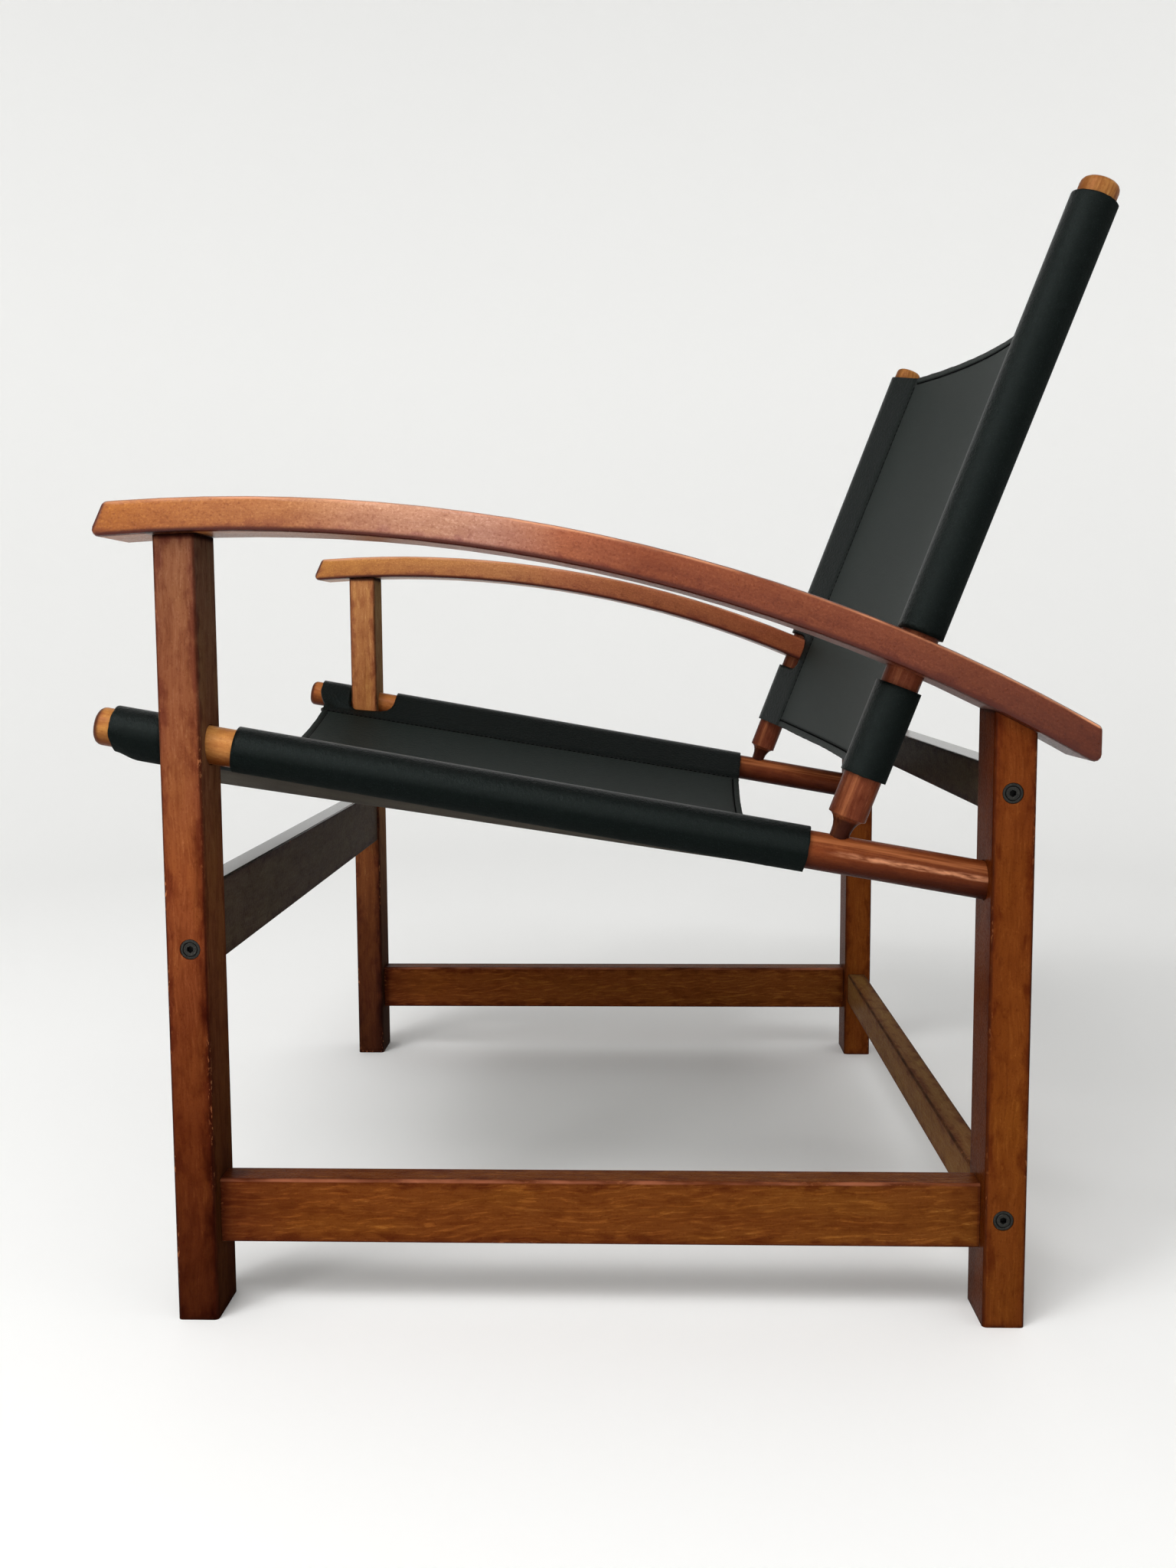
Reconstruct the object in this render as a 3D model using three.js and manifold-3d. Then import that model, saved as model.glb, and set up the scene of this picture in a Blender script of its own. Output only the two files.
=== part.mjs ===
// A sling lounge chair: a bolted hardwood frame with two leather slings hung on round rods.
// Millimetres, +Z up. The chair faces -Y and the sitter's left is +X. Along Y, places count from
// the front faces of the front legs, and the finished chair is then centred on its depth.
import * as THREE from "three";
import { mergeVertices } from "three/addons/utils/BufferGeometryUtils.js";
import Module from "manifold-3d";

// Fits
const FACE_GAP = 0.3; // between faces that meet
const HOLE_PLAY = 0.3; // round a dowel, bolt, nut or tenon in its hole, on the radius
const ROD_PLAY = 0.6; // round a rod in the wood that it passes through, on the radius
const CUT_PAST = 1; // how far a cut starts outside the face that it enters

// Legs
const FRAME_WIDTH = 670; // over the outer faces of the legs
const LEG_SPREAD = 554.4; // front face of the front legs to rear face of the rear legs
const LEG_WIDTH = 45; // across the chair
const LEG_DEPTH = 27; // along the chair
const LEG_ROUND = 3;

// Armrests, bent to one arc seen from the side
const ARM_TOP = 536; // height of the arc's crown
const ARM_CROWN = 47.6; // the crown's place behind the front legs' front faces
const ARM_RADIUS = 1090; // of the top face
const ARM_THICKNESS = 21.5;
const ARM_OUTER_OVERHANG = 8.5; // past the legs' outer faces
const ARM_INNER_OVERHANG = 4.5; // past the legs' inner faces
const ARM_FRONT_OVERHANG = 38.2; // ahead of the front legs
const ARM_REAR_OVERHANG = 37.2; // behind the rear legs
const ARM_FRONT_SLANT = 10.5; // the front end's top edge stands this far behind its bottom edge
const ARM_CORNER_ROUND = 4.5; // of the ends' corners, seen from the side
const ARM_EDGE_ROUND = 2.8; // of the long edges

// Side stretchers
const STRETCHER_HEIGHT = 43.4;
const STRETCHER_THICKNESS = 22;
const STRETCHER_BOTTOM = 48.6; // above the floor
const STRETCHER_ROUND = 2;

// Cross rails
const RAIL_THICKNESS = 18;
const RAIL_ROUND = 1.5;
const FRONT_RAIL_HEIGHT = 54;
const FRONT_RAIL_BOTTOM = 234;
const FRONT_RAIL_SETBACK = 2; // its rear face, ahead of the front legs' rear faces
const REAR_RAIL_HEIGHT = 31;
const REAR_UPPER_BOTTOM = 334;
const REAR_LOWER_BOTTOM = 57;
const REAR_RAIL_SETBACK = 3; // its front face, behind the rear legs' front faces

// Seat rods
const ROD_DIAMETER = 25;
const ROD_END_ROUND = 4.5;
const SEAT_PITCH = THREE.MathUtils.degToRad(10.1); // down towards the rear
const SEAT_ROD_HEIGHT = 384.3; // the axis at the front legs' front faces
const SEAT_ROD_OVERHANG = 47.2; // ahead of the front legs, along the rod
const SEAT_ROD_SOCKET = 15; // depth of the blind hole in the rear leg

// Back rods
const BACK_RECLINE = THREE.MathUtils.degToRad(21.1); // from upright
const BACK_ROD_PLACE = 436.8; // along the seat rod, from the front legs' front faces
const BACK_ROD_HEIGHT = 446.5; // the top end above the seat rod's axis, along the back rod
const SHOULDER_HEIGHT = 25.8; // above the seat rod's axis
const COVE_HEIGHT = 11.7; // of the hollow between shoulder and tenon
const TENON_DIAMETER = 12.4;
const TENON_PAST_AXIS = 6.5; // how far the tenon reaches past the seat rod's axis

// Bolts and barrel nuts
const BOLT_DIAMETER = 6;
const BOLT_LENGTH = 84;
const BOLT_RISE = 14.8; // above the underside of the rail that it holds
const HEAD_DIAMETER = 13;
const HEAD_RIM = 0.8;
const HEAD_HEIGHT = 4.2;
const HEAD_SINK = 0.3; // below the leg's outer face
const SOCKET_FLATS = 4;
const SOCKET_DEPTH = 2.5;
const NUT_DIAMETER = 10;
const NUT_LENGTH = 16;
const NUT_INSET = 30; // from the end of the rail

// Dowels
const RAIL_DOWEL_DIAMETER = 6;
const RAIL_DOWEL_DEPTH = 17; // into the leg, and as far into the rail
const RAIL_DOWEL_DROP = 7.5; // below the top of the rail
const STRETCHER_DOWEL_DIAMETER = 8;
const STRETCHER_DOWEL_DEPTH = 17; // into the leg, and as far into the stretcher
const STRETCHER_DOWEL_SPACING = 20;
const ARM_DOWEL_DIAMETER = 10;
const ARM_DOWEL_IN_LEG = 24;
const ARM_DOWEL_IN_ARM = 13;
const DOWEL_CHAMFER = 1;

// Slings
const LEATHER = 2.2;
const SLEEVE_SLACK = 0.4; // between a rod and its sleeve, on the radius
const SEAM_REACH = 37; // rod axis to stitch line
const HEM_FLAP = 13; // turned-under leather past the stitch line
const STITCH_MARGIN = 2; // between the stitch line and the sleeve's hollow
const NOTCH_MARGIN = 2.5; // from the armrests' inner faces in to the bottom of a notch
const NOTCH_ROUND = 12;
const SEAT_SLING_INSET = 11.8; // bare rod end ahead of the seat sling
const SEAT_SLING_LENGTH = 455; // along the rods
const SEAT_SAG_FRONT = 57.5;
const SEAT_SAG_REAR = 43.6;
const SEAT_FULLNESS = 2.5; // power of the curve that the seat hangs in: 2 is a parabola
const LEG_NOTCH_AHEAD = 1.2; // gap ahead of the front leg
const LEG_NOTCH_BEHIND = 17.3; // bare rod behind the front leg
const SCOOP_DEPTH = 9.5; // how far the front edge is cut back between the sleeves
const SCOOP_INNER = 275; // where the front edge starts to step forward, from the middle
const SCOOP_OUTER = 299; // and where it reaches the sleeve's end
const BACK_SLING_INSET = 11.8; // bare rod end above the back sling
const BACK_SLING_BOTTOM = 53.5; // above the seat rod's axis, along the back rod
const BACK_SAG_TOP = 41;
const BACK_SAG_BOTTOM = 26;
const BACK_FULLNESS = 1.7;
const ARM_NOTCH_ABOVE = 3.5; // gap over the armrest
const ARM_NOTCH_BELOW = 11; // bare rod under the armrest

// Facets
const ROD_SIDES = 32;
const BOLT_SIDES = 16;
const DOWEL_SIDES = 12;
const COVE_STEPS = 5;
const CORNER_STEPS = 4;
const SCOOP_STEPS = 6;
const ARC_STEPS = 22; // along an armrest
const SHEET_STEPS = 16; // across a sling
const SLEEVE_STEPS = 12; // round a sleeve
const SLING_RINGS = 6; // along a sling

// Places that follow from the sizes above
const LEG_OUTER = FRAME_WIDTH / 2;
const LEG_INNER = LEG_OUTER - LEG_WIDTH;
const ROD_X = LEG_OUTER - LEG_WIDTH / 2;
const ROD_RADIUS = ROD_DIAMETER / 2;
const REAR_LEG_FRONT = LEG_SPREAD - LEG_DEPTH;
const ARM_INNER = LEG_INNER - ARM_INNER_OVERHANG;
const ARM_OUTER = LEG_OUTER + ARM_OUTER_OVERHANG;
const ARM_CENTRE = new THREE.Vector2(ARM_CROWN, ARM_TOP - ARM_RADIUS);
const UNDERSIDE_RADIUS = ARM_RADIUS - ARM_THICKNESS;

const X_AXIS = new THREE.Vector3(1, 0, 0);
const Y_AXIS = new THREE.Vector3(0, 1, 0);
const Z_AXIS = new THREE.Vector3(0, 0, 1);

// The two sling planes. In each, +Y runs along the rods and +Z faces the sitter.
const seatPlane = new THREE.Matrix4().makeRotationX(-SEAT_PITCH).setPosition(0, 0, SEAT_ROD_HEIGHT);
const backFoot = new THREE.Vector3(0, BACK_ROD_PLACE, 0).applyMatrix4(seatPlane);
const backPlane = new THREE.Matrix4().makeRotationX(Math.PI / 2 - BACK_RECLINE).setPosition(backFoot);

const WOOD = new THREE.MeshStandardMaterial({ color: 0x8c4a26, roughness: 0.4, metalness: 0 });
const DARK_WOOD = new THREE.MeshStandardMaterial({ color: 0x4a2a1c, roughness: 0.45, metalness: 0 });
const PALE_WOOD = new THREE.MeshStandardMaterial({ color: 0xc9a878, roughness: 0.7, metalness: 0 });
const BLACK_LEATHER = new THREE.MeshStandardMaterial({ color: 0x1f2423, roughness: 0.55, metalness: 0 });
const GUNMETAL = new THREE.MeshStandardMaterial({ color: 0x2c2e30, roughness: 0.4, metalness: 0.8 });

const wasm = await Module();
wasm.setup();

// A closed geometry as a solid that can be cut.
function solidOf(geometry) {
  const bare = geometry.clone();
  bare.deleteAttribute("normal");
  bare.deleteAttribute("uv");
  const merged = mergeVertices(bare, 1e-3);
  const vertProperties = merged.getAttribute("position").array;
  const triVerts = new Uint32Array(merged.index.array);
  return new wasm.Manifold(new wasm.Mesh({ numProp: 3, vertProperties, triVerts }));
}

// The geometry with the volume of every tool taken out.
function cut(geometry, tools) {
  const solid = tools.reduce((left, tool) => left.subtract(solidOf(tool)), solidOf(geometry));
  const mesh = solid.getMesh();
  const result = new THREE.BufferGeometry();
  result.setAttribute("position", new THREE.BufferAttribute(mesh.vertProperties, 3));
  result.setIndex(new THREE.BufferAttribute(mesh.triVerts, 1));
  result.computeVertexNormals();
  return result;
}

// A turned solid: its profile lists [radius, distance] from end to end along +Y.
function turned(profile, sides) {
  return new THREE.LatheGeometry(
    profile.map(([radius, along]) => new THREE.Vector2(radius, along)),
    sides,
  );
}

// Moves a solid made along +Y to start at a point and run in a direction.
function pointed(geometry, start, direction) {
  const turn = new THREE.Quaternion().setFromUnitVectors(Y_AXIS, direction);
  const place = new THREE.Matrix4().makeRotationFromQuaternion(turn).setPosition(start);
  return geometry.applyMatrix4(place);
}

// A drilled hole that starts at a point and runs a length in a direction.
function drilled(diameter, start, direction, length) {
  const radius = diameter / 2;
  const profile = [[0, 0], [radius, 0], [radius, length], [0, length]];
  return pointed(turned(profile, DOWEL_SIDES), start, direction);
}

// A dowel with chamfered ends between two distances from a point, along a direction.
function dowel(diameter, centre, direction, low, high) {
  const radius = diameter / 2;
  const neck = radius - DOWEL_CHAMFER;
  const profile = [
    [0, low], [neck, low], [radius, low + DOWEL_CHAMFER],
    [radius, high - DOWEL_CHAMFER], [neck, high], [0, high],
  ];
  return pointed(turned(profile, DOWEL_SIDES), centre, direction);
}

// The hole for such a dowel, a little wider and a little deeper at both ends.
function dowelHole(diameter, centre, direction, low, high) {
  const start = centre.clone().addScaledVector(direction, low - FACE_GAP);
  return drilled(diameter + 2 * HOLE_PLAY, start, direction, high - low + 2 * FACE_GAP);
}

function roundedRectangle(width, height, corner) {
  const x = width / 2;
  const y = height / 2;
  const round = Math.min(corner, x * 0.9, y * 0.9);
  const shape = new THREE.Shape();
  shape.moveTo(x - round, -y);
  shape.absarc(x - round, -y + round, round, -Math.PI / 2, 0);
  shape.absarc(x - round, y - round, round, 0, Math.PI / 2);
  shape.absarc(-x + round, y - round, round, Math.PI / 2, Math.PI);
  shape.absarc(-x + round, -y + round, round, Math.PI, 1.5 * Math.PI);
  return shape;
}

// A bar of the given section along X, Y or Z, between two places on that axis. The section's two
// sizes follow the other two axes in alphabetical order.
function bar(section, axis, low, high) {
  const across = { x: Y_AXIS, y: X_AXIS, z: X_AXIS }[axis];
  const up = { x: Z_AXIS, y: Z_AXIS, z: Y_AXIS }[axis];
  const run = new THREE.Vector3().crossVectors(across, up);
  const start = run.x + run.y + run.z > 0 ? low : -high;
  const geometry = new THREE.ExtrudeGeometry(section, {
    depth: high - low,
    bevelEnabled: false,
    curveSegments: 2,
  });
  geometry.translate(0, 0, start);
  return geometry.applyMatrix4(new THREE.Matrix4().makeBasis(across, up, run));
}

// A side profile drawn in (y, z), as a slab from one X to another.
function slab(profile, low, high, settings) {
  const geometry = new THREE.ExtrudeGeometry(profile, { depth: high - low, ...settings });
  const stand = new THREE.Matrix4().makeBasis(Y_AXIS, Z_AXIS, X_AXIS).setPosition(low, 0, 0);
  return geometry.applyMatrix4(stand);
}

// The point of an arc about the armrests' centre, at a place along the chair.
function onArc(radius, y) {
  const z = ARM_CENTRE.y + Math.sqrt(radius ** 2 - (y - ARM_CENTRE.x) ** 2);
  return new THREE.Vector2(y, z);
}

// Points of such an arc between two places along the chair.
function arcPoints(radius, from, to) {
  const step = (to - from) / ARC_STEPS;
  return Array.from({ length: ARC_STEPS + 1 }, (_, count) => onArc(radius, from + count * step));
}

// Where the back rod's axis crosses an arc about the armrests' centre, along the rod.
function backRodCrossing(radius) {
  const along = new THREE.Vector2(Math.sin(BACK_RECLINE), Math.cos(BACK_RECLINE));
  const offset = new THREE.Vector2(backFoot.y, backFoot.z).sub(ARM_CENTRE);
  const middle = offset.dot(along);
  return -middle + Math.sqrt(middle ** 2 - offset.lengthSq() + radius ** 2);
}

// Rails, with the name of their bolts and the leg that they are bolted to
const RAILS = [
  {
    name: "front_rail",
    joint: "front",
    leg: "front_leg",
    bottom: FRONT_RAIL_BOTTOM,
    height: FRONT_RAIL_HEIGHT,
    middle: LEG_DEPTH - FRONT_RAIL_SETBACK - RAIL_THICKNESS / 2,
  },
  {
    name: "rear_upper_rail",
    joint: "rear_upper",
    leg: "rear_leg",
    bottom: REAR_UPPER_BOTTOM,
    height: REAR_RAIL_HEIGHT,
    middle: REAR_LEG_FRONT + REAR_RAIL_SETBACK + RAIL_THICKNESS / 2,
  },
  {
    name: "rear_lower_stretcher",
    joint: "rear_lower",
    leg: "rear_leg",
    bottom: REAR_LOWER_BOTTOM,
    height: REAR_RAIL_HEIGHT,
    middle: REAR_LEG_FRONT + REAR_RAIL_SETBACK + RAIL_THICKNESS / 2,
  },
];

const RAIL_END = LEG_INNER - FACE_GAP;
const INWARD = X_AXIS.clone().negate();

const boltHeight = (rail) => rail.bottom + BOLT_RISE;
const railDowelPlace = (rail) =>
  new THREE.Vector3(LEG_INNER, rail.middle, rail.bottom + rail.height - RAIL_DOWEL_DROP);

// The connector bolt's turned profile, grown on every radius where it cuts its own hole.
function boltProfile(grow, headTop) {
  const head = HEAD_DIAMETER / 2 + grow;
  const shank = BOLT_DIAMETER / 2 + grow;
  return [
    [0, headTop], [head, headTop], [head, HEAD_SINK + HEAD_RIM + grow],
    [shank, HEAD_SINK + HEAD_HEIGHT + grow], [shank, BOLT_LENGTH + grow], [0, BOLT_LENGTH + grow],
  ];
}

// Sunk-head bolt with a hex socket, driven in from the leg's outer face.
function bolt(rail) {
  const socket = new THREE.CylinderGeometry(
    SOCKET_FLATS / Math.sqrt(3), SOCKET_FLATS / Math.sqrt(3), 2 * SOCKET_DEPTH, 6,
  );
  socket.translate(0, HEAD_SINK, 0);
  const body = cut(turned(boltProfile(0, HEAD_SINK), BOLT_SIDES), [socket]);
  return pointed(body, new THREE.Vector3(LEG_OUTER, rail.middle, boltHeight(rail)), INWARD);
}

function boltHole(rail) {
  const start = new THREE.Vector3(LEG_OUTER, rail.middle, boltHeight(rail));
  return pointed(turned(boltProfile(HOLE_PLAY, -CUT_PAST), BOLT_SIDES), start, INWARD);
}

const nutPlace = (rail) => new THREE.Vector3(RAIL_END - NUT_INSET, rail.middle, boltHeight(rail));

// Barrel nut: an upright pin with a cross hole that the bolt screws into.
function barrelNut(rail) {
  const body = dowel(NUT_DIAMETER, nutPlace(rail), Z_AXIS, -NUT_LENGTH / 2, NUT_LENGTH / 2);
  return cut(body, [boltHole(rail)]);
}

// The nut's hole is drilled up from the rail's underside.
function nutHole(rail) {
  const start = nutPlace(rail).setZ(rail.bottom - CUT_PAST);
  const depth = CUT_PAST + BOLT_RISE + NUT_LENGTH / 2 + FACE_GAP;
  return drilled(NUT_DIAMETER + 2 * HOLE_PLAY, start, Z_AXIS, depth);
}

const railDowel = (rail) =>
  dowel(RAIL_DOWEL_DIAMETER, railDowelPlace(rail), X_AXIS, -RAIL_DOWEL_DEPTH, RAIL_DOWEL_DEPTH);
const railDowelHole = (rail) =>
  dowelHole(RAIL_DOWEL_DIAMETER, railDowelPlace(rail), X_AXIS, -RAIL_DOWEL_DEPTH, RAIL_DOWEL_DEPTH);

// Cross rail, drilled alike at both ends.
function crossRail(rail) {
  const section = roundedRectangle(RAIL_THICKNESS, rail.height, RAIL_ROUND);
  const body = bar(section, "x", -RAIL_END, RAIL_END);
  body.translate(0, rail.middle, rail.bottom + rail.height / 2);
  const holes = [boltHole(rail), nutHole(rail), railDowelHole(rail)];
  const otherEnd = holes.map((hole) =>
    hole.clone().translate(0, -rail.middle, 0).rotateZ(Math.PI).translate(0, rail.middle, 0),
  );
  return cut(body, [...holes, ...otherEnd]);
}

// Dowels of the side stretchers: two at each end, across the joint with the leg.
const STRETCHER_JOINTS = [
  { end: "front", y: LEG_DEPTH },
  { end: "rear", y: REAR_LEG_FRONT },
].flatMap((joint) =>
  [
    { ...joint, level: "lower", rise: -STRETCHER_DOWEL_SPACING / 2 },
    { ...joint, level: "upper", rise: STRETCHER_DOWEL_SPACING / 2 },
  ],
);

const stretcherDowelPlace = (joint) =>
  new THREE.Vector3(ROD_X, joint.y, STRETCHER_BOTTOM + STRETCHER_HEIGHT / 2 + joint.rise);

function stretcherDowel(joint, make) {
  const place = stretcherDowelPlace(joint);
  return make(STRETCHER_DOWEL_DIAMETER, place, Y_AXIS, -STRETCHER_DOWEL_DEPTH, STRETCHER_DOWEL_DEPTH);
}

function sideStretcher() {
  const section = roundedRectangle(STRETCHER_THICKNESS, STRETCHER_HEIGHT, STRETCHER_ROUND);
  const body = bar(section, "y", LEG_DEPTH + FACE_GAP, REAR_LEG_FRONT - FACE_GAP);
  body.translate(ROD_X, 0, STRETCHER_BOTTOM + STRETCHER_HEIGHT / 2);
  return cut(body, STRETCHER_JOINTS.map((joint) => stretcherDowel(joint, dowelHole)));
}

// Upright dowels between the legs and the armrest.
const ARM_JOINTS = [
  { end: "front", y: LEG_DEPTH / 2 },
  { end: "rear", y: REAR_LEG_FRONT + LEG_DEPTH / 2 },
];

function armDowel(joint, make) {
  const place = new THREE.Vector3(ROD_X, joint.y, onArc(UNDERSIDE_RADIUS, joint.y).y);
  return make(ARM_DOWEL_DIAMETER, place, Z_AXIS, -ARM_DOWEL_IN_LEG, ARM_DOWEL_IN_ARM);
}

// Points round an eased corner of an outline, from the side before it to the side after it.
function easedCorner(before, corner, after) {
  const back = before.clone().sub(corner).normalize();
  const on = after.clone().sub(corner).normalize();
  const half = Math.acos(back.dot(on)) / 2;
  const centre = on.add(back).setLength(ARM_CORNER_ROUND / Math.sin(half)).add(corner);
  const first = back.multiplyScalar(ARM_CORNER_ROUND / Math.tan(half)).add(corner).sub(centre);
  const step = (Math.PI - 2 * half) / CORNER_STEPS;
  return Array.from({ length: CORNER_STEPS + 1 }, (_, count) =>
    first.clone().rotateAround(new THREE.Vector2(), count * step).add(centre),
  );
}

// Armrest: its side outline is two arcs joined by a slanted front end and an upright rear end.
function armrest() {
  const lowFront = -ARM_FRONT_OVERHANG;
  const highFront = lowFront + ARM_FRONT_SLANT;
  const rear = LEG_SPREAD + ARM_REAR_OVERHANG;
  const frontLow = onArc(UNDERSIDE_RADIUS, lowFront);
  const rearLow = onArc(UNDERSIDE_RADIUS, rear);
  const rearHigh = onArc(ARM_RADIUS, rear);
  const frontHigh = onArc(ARM_RADIUS, highFront);
  const ease = 2 * ARM_CORNER_ROUND;
  const underside = arcPoints(UNDERSIDE_RADIUS, lowFront + ease, rear - ease);
  const topFace = arcPoints(ARM_RADIUS, rear - ease, highFront + ease);
  const outline = new THREE.Shape([
    ...underside,
    ...easedCorner(underside.at(-1), rearLow, rearHigh),
    ...easedCorner(rearLow, rearHigh, topFace[0]),
    ...topFace,
    ...easedCorner(topFace.at(-1), frontHigh, frontLow),
    ...easedCorner(frontHigh, frontLow, underside[0]),
  ]);
  const body = slab(outline, ARM_INNER + ARM_EDGE_ROUND, ARM_OUTER - ARM_EDGE_ROUND, {
    bevelThickness: ARM_EDGE_ROUND,
    bevelSize: ARM_EDGE_ROUND,
    bevelOffset: -ARM_EDGE_ROUND,
    bevelSegments: 2,
  });
  const bore = rodHole(backRodCrossing(UNDERSIDE_RADIUS) - ARM_THICKNESS, 3 * ARM_THICKNESS, backPlane);
  return cut(body, [bore, ...ARM_JOINTS.map((joint) => armDowel(joint, dowelHole))]);
}

// A hole for a rod, along the rods of a sling plane.
function rodHole(start, length, plane) {
  const radius = ROD_RADIUS + ROD_PLAY;
  const profile = [[0, 0], [radius, 0], [radius, length], [0, length]];
  return turned(profile, ROD_SIDES).translate(ROD_X, start, 0).applyMatrix4(plane);
}

// Everything above the armrest's underside, to trim the tops of the legs.
function aboveUnderside() {
  const low = -LEG_DEPTH;
  const high = LEG_SPREAD + LEG_DEPTH;
  const region = new THREE.Shape(arcPoints(UNDERSIDE_RADIUS - FACE_GAP, low, high));
  region.lineTo(high, ARM_TOP + ARM_THICKNESS);
  region.lineTo(low, ARM_TOP + ARM_THICKNESS);
  return slab(region, LEG_INNER - LEG_WIDTH, LEG_OUTER + LEG_WIDTH, { bevelEnabled: false });
}

// Leg: a rounded post under the armrest, drilled for its rod, bolts and dowels.
function leg(name, front, rodCut) {
  const section = roundedRectangle(LEG_WIDTH, LEG_DEPTH, LEG_ROUND);
  const post = bar(section, "z", 0, ARM_TOP);
  post.translate(ROD_X, front + LEG_DEPTH / 2, 0);
  const end = name === "front_leg" ? "front" : "rear";
  const rails = RAILS.filter((rail) => rail.leg === name);
  return cut(post, [
    aboveUnderside(),
    rodCut,
    ...rails.map(boltHole),
    ...rails.map(railDowelHole),
    ...STRETCHER_JOINTS.filter((joint) => joint.end === end).map((joint) => stretcherDowel(joint, dowelHole)),
    ...ARM_JOINTS.filter((joint) => joint.end === end).map((joint) => armDowel(joint, dowelHole)),
  ]);
}

// The seat rod's axis reaches the rear leg's front face at this distance along the rod.
const SEAT_ROD_AT_REAR_LEG = REAR_LEG_FRONT / Math.cos(SEAT_PITCH);

const frontLeg = () => leg("front_leg", 0, rodHole(-2 * LEG_DEPTH, 5 * LEG_DEPTH, seatPlane));

function rearLeg() {
  const lead = ROD_DIAMETER;
  const socket = rodHole(SEAT_ROD_AT_REAR_LEG - lead, lead + SEAT_ROD_SOCKET, seatPlane);
  return leg("rear_leg", REAR_LEG_FRONT, socket);
}

// A rod end with an eased rim: its profile points from the rim in to the axis.
function roundedEnd(end) {
  const rim = Array.from({ length: CORNER_STEPS + 1 }, (_, step) => {
    const turn = (Math.PI / 2) * (step / CORNER_STEPS);
    return [
      ROD_RADIUS - ROD_END_ROUND * (1 - Math.cos(turn)),
      end - ROD_END_ROUND * (1 - Math.sin(turn)),
    ];
  });
  return [...rim, [0, end]];
}

// Seat rod, made in the seat plane, with the blind hole that takes the back rod's tenon.
function seatRod() {
  const rear = SEAT_ROD_AT_REAR_LEG + SEAT_ROD_SOCKET - FACE_GAP;
  const frontEnd = roundedEnd(SEAT_ROD_OVERHANG).map(([radius, along]) => [radius, -along]);
  const profile = [...frontEnd.reverse(), [ROD_RADIUS, rear], [0, rear]];
  const body = turned(profile, ROD_SIDES).translate(ROD_X, 0, 0);
  const floor = -TENON_PAST_AXIS - FACE_GAP;
  const mouth = drilled(
    TENON_DIAMETER + 2 * HOLE_PLAY, new THREE.Vector3(ROD_X, floor, 0), Y_AXIS, ROD_DIAMETER - floor,
  );
  mouth.applyMatrix4(backPlane).applyMatrix4(seatPlane.clone().invert());
  return cut(body, [mouth]);
}

// Back rod, made in the back plane: tenon, hollow cove, shoulder and plain shaft.
function backRod() {
  const tenon = TENON_DIAMETER / 2;
  const cove = [];
  for (let step = 0; step <= COVE_STEPS; step++) {
    const turn = (Math.PI / 2) * (1 - step / COVE_STEPS);
    cove.push([
      ROD_RADIUS - (ROD_RADIUS - tenon) * Math.sin(turn),
      SHOULDER_HEIGHT - COVE_HEIGHT * (1 - Math.cos(turn)),
    ]);
  }
  const profile = [
    [0, -TENON_PAST_AXIS], [tenon - DOWEL_CHAMFER, -TENON_PAST_AXIS],
    [tenon, DOWEL_CHAMFER - TENON_PAST_AXIS], ...cove, ...roundedEnd(BACK_ROD_HEIGHT),
  ];
  return turned(profile, ROD_SIDES).translate(ROD_X, 0, 0);
}

// Points on the straight sides of a sleeve touch its round at this angle from a point outside.
function tangentAngles(point, radius) {
  const toPoint = point.clone().sub(new THREE.Vector2(ROD_X, 0));
  const facing = Math.atan2(toPoint.y, toPoint.x) + (toPoint.y < 0 ? 2 * Math.PI : 0);
  const spread = Math.acos(radius / toPoint.length());
  return { upper: facing - spread, lower: facing + spread };
}

// Points round a rod's centre between two angles.
function roundRod(radius, from, to) {
  return Array.from({ length: SLEEVE_STEPS + 1 }, (_, step) => {
    const turn = from + ((to - from) * step) / SLEEVE_STEPS;
    return new THREE.Vector2(ROD_X + radius * Math.cos(turn), radius * Math.sin(turn));
  });
}

// The same points on the other side of the chair, in the opposite order.
const mirrored = (points) => points.map((point) => new THREE.Vector2(-point.x, point.y)).reverse();

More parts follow.
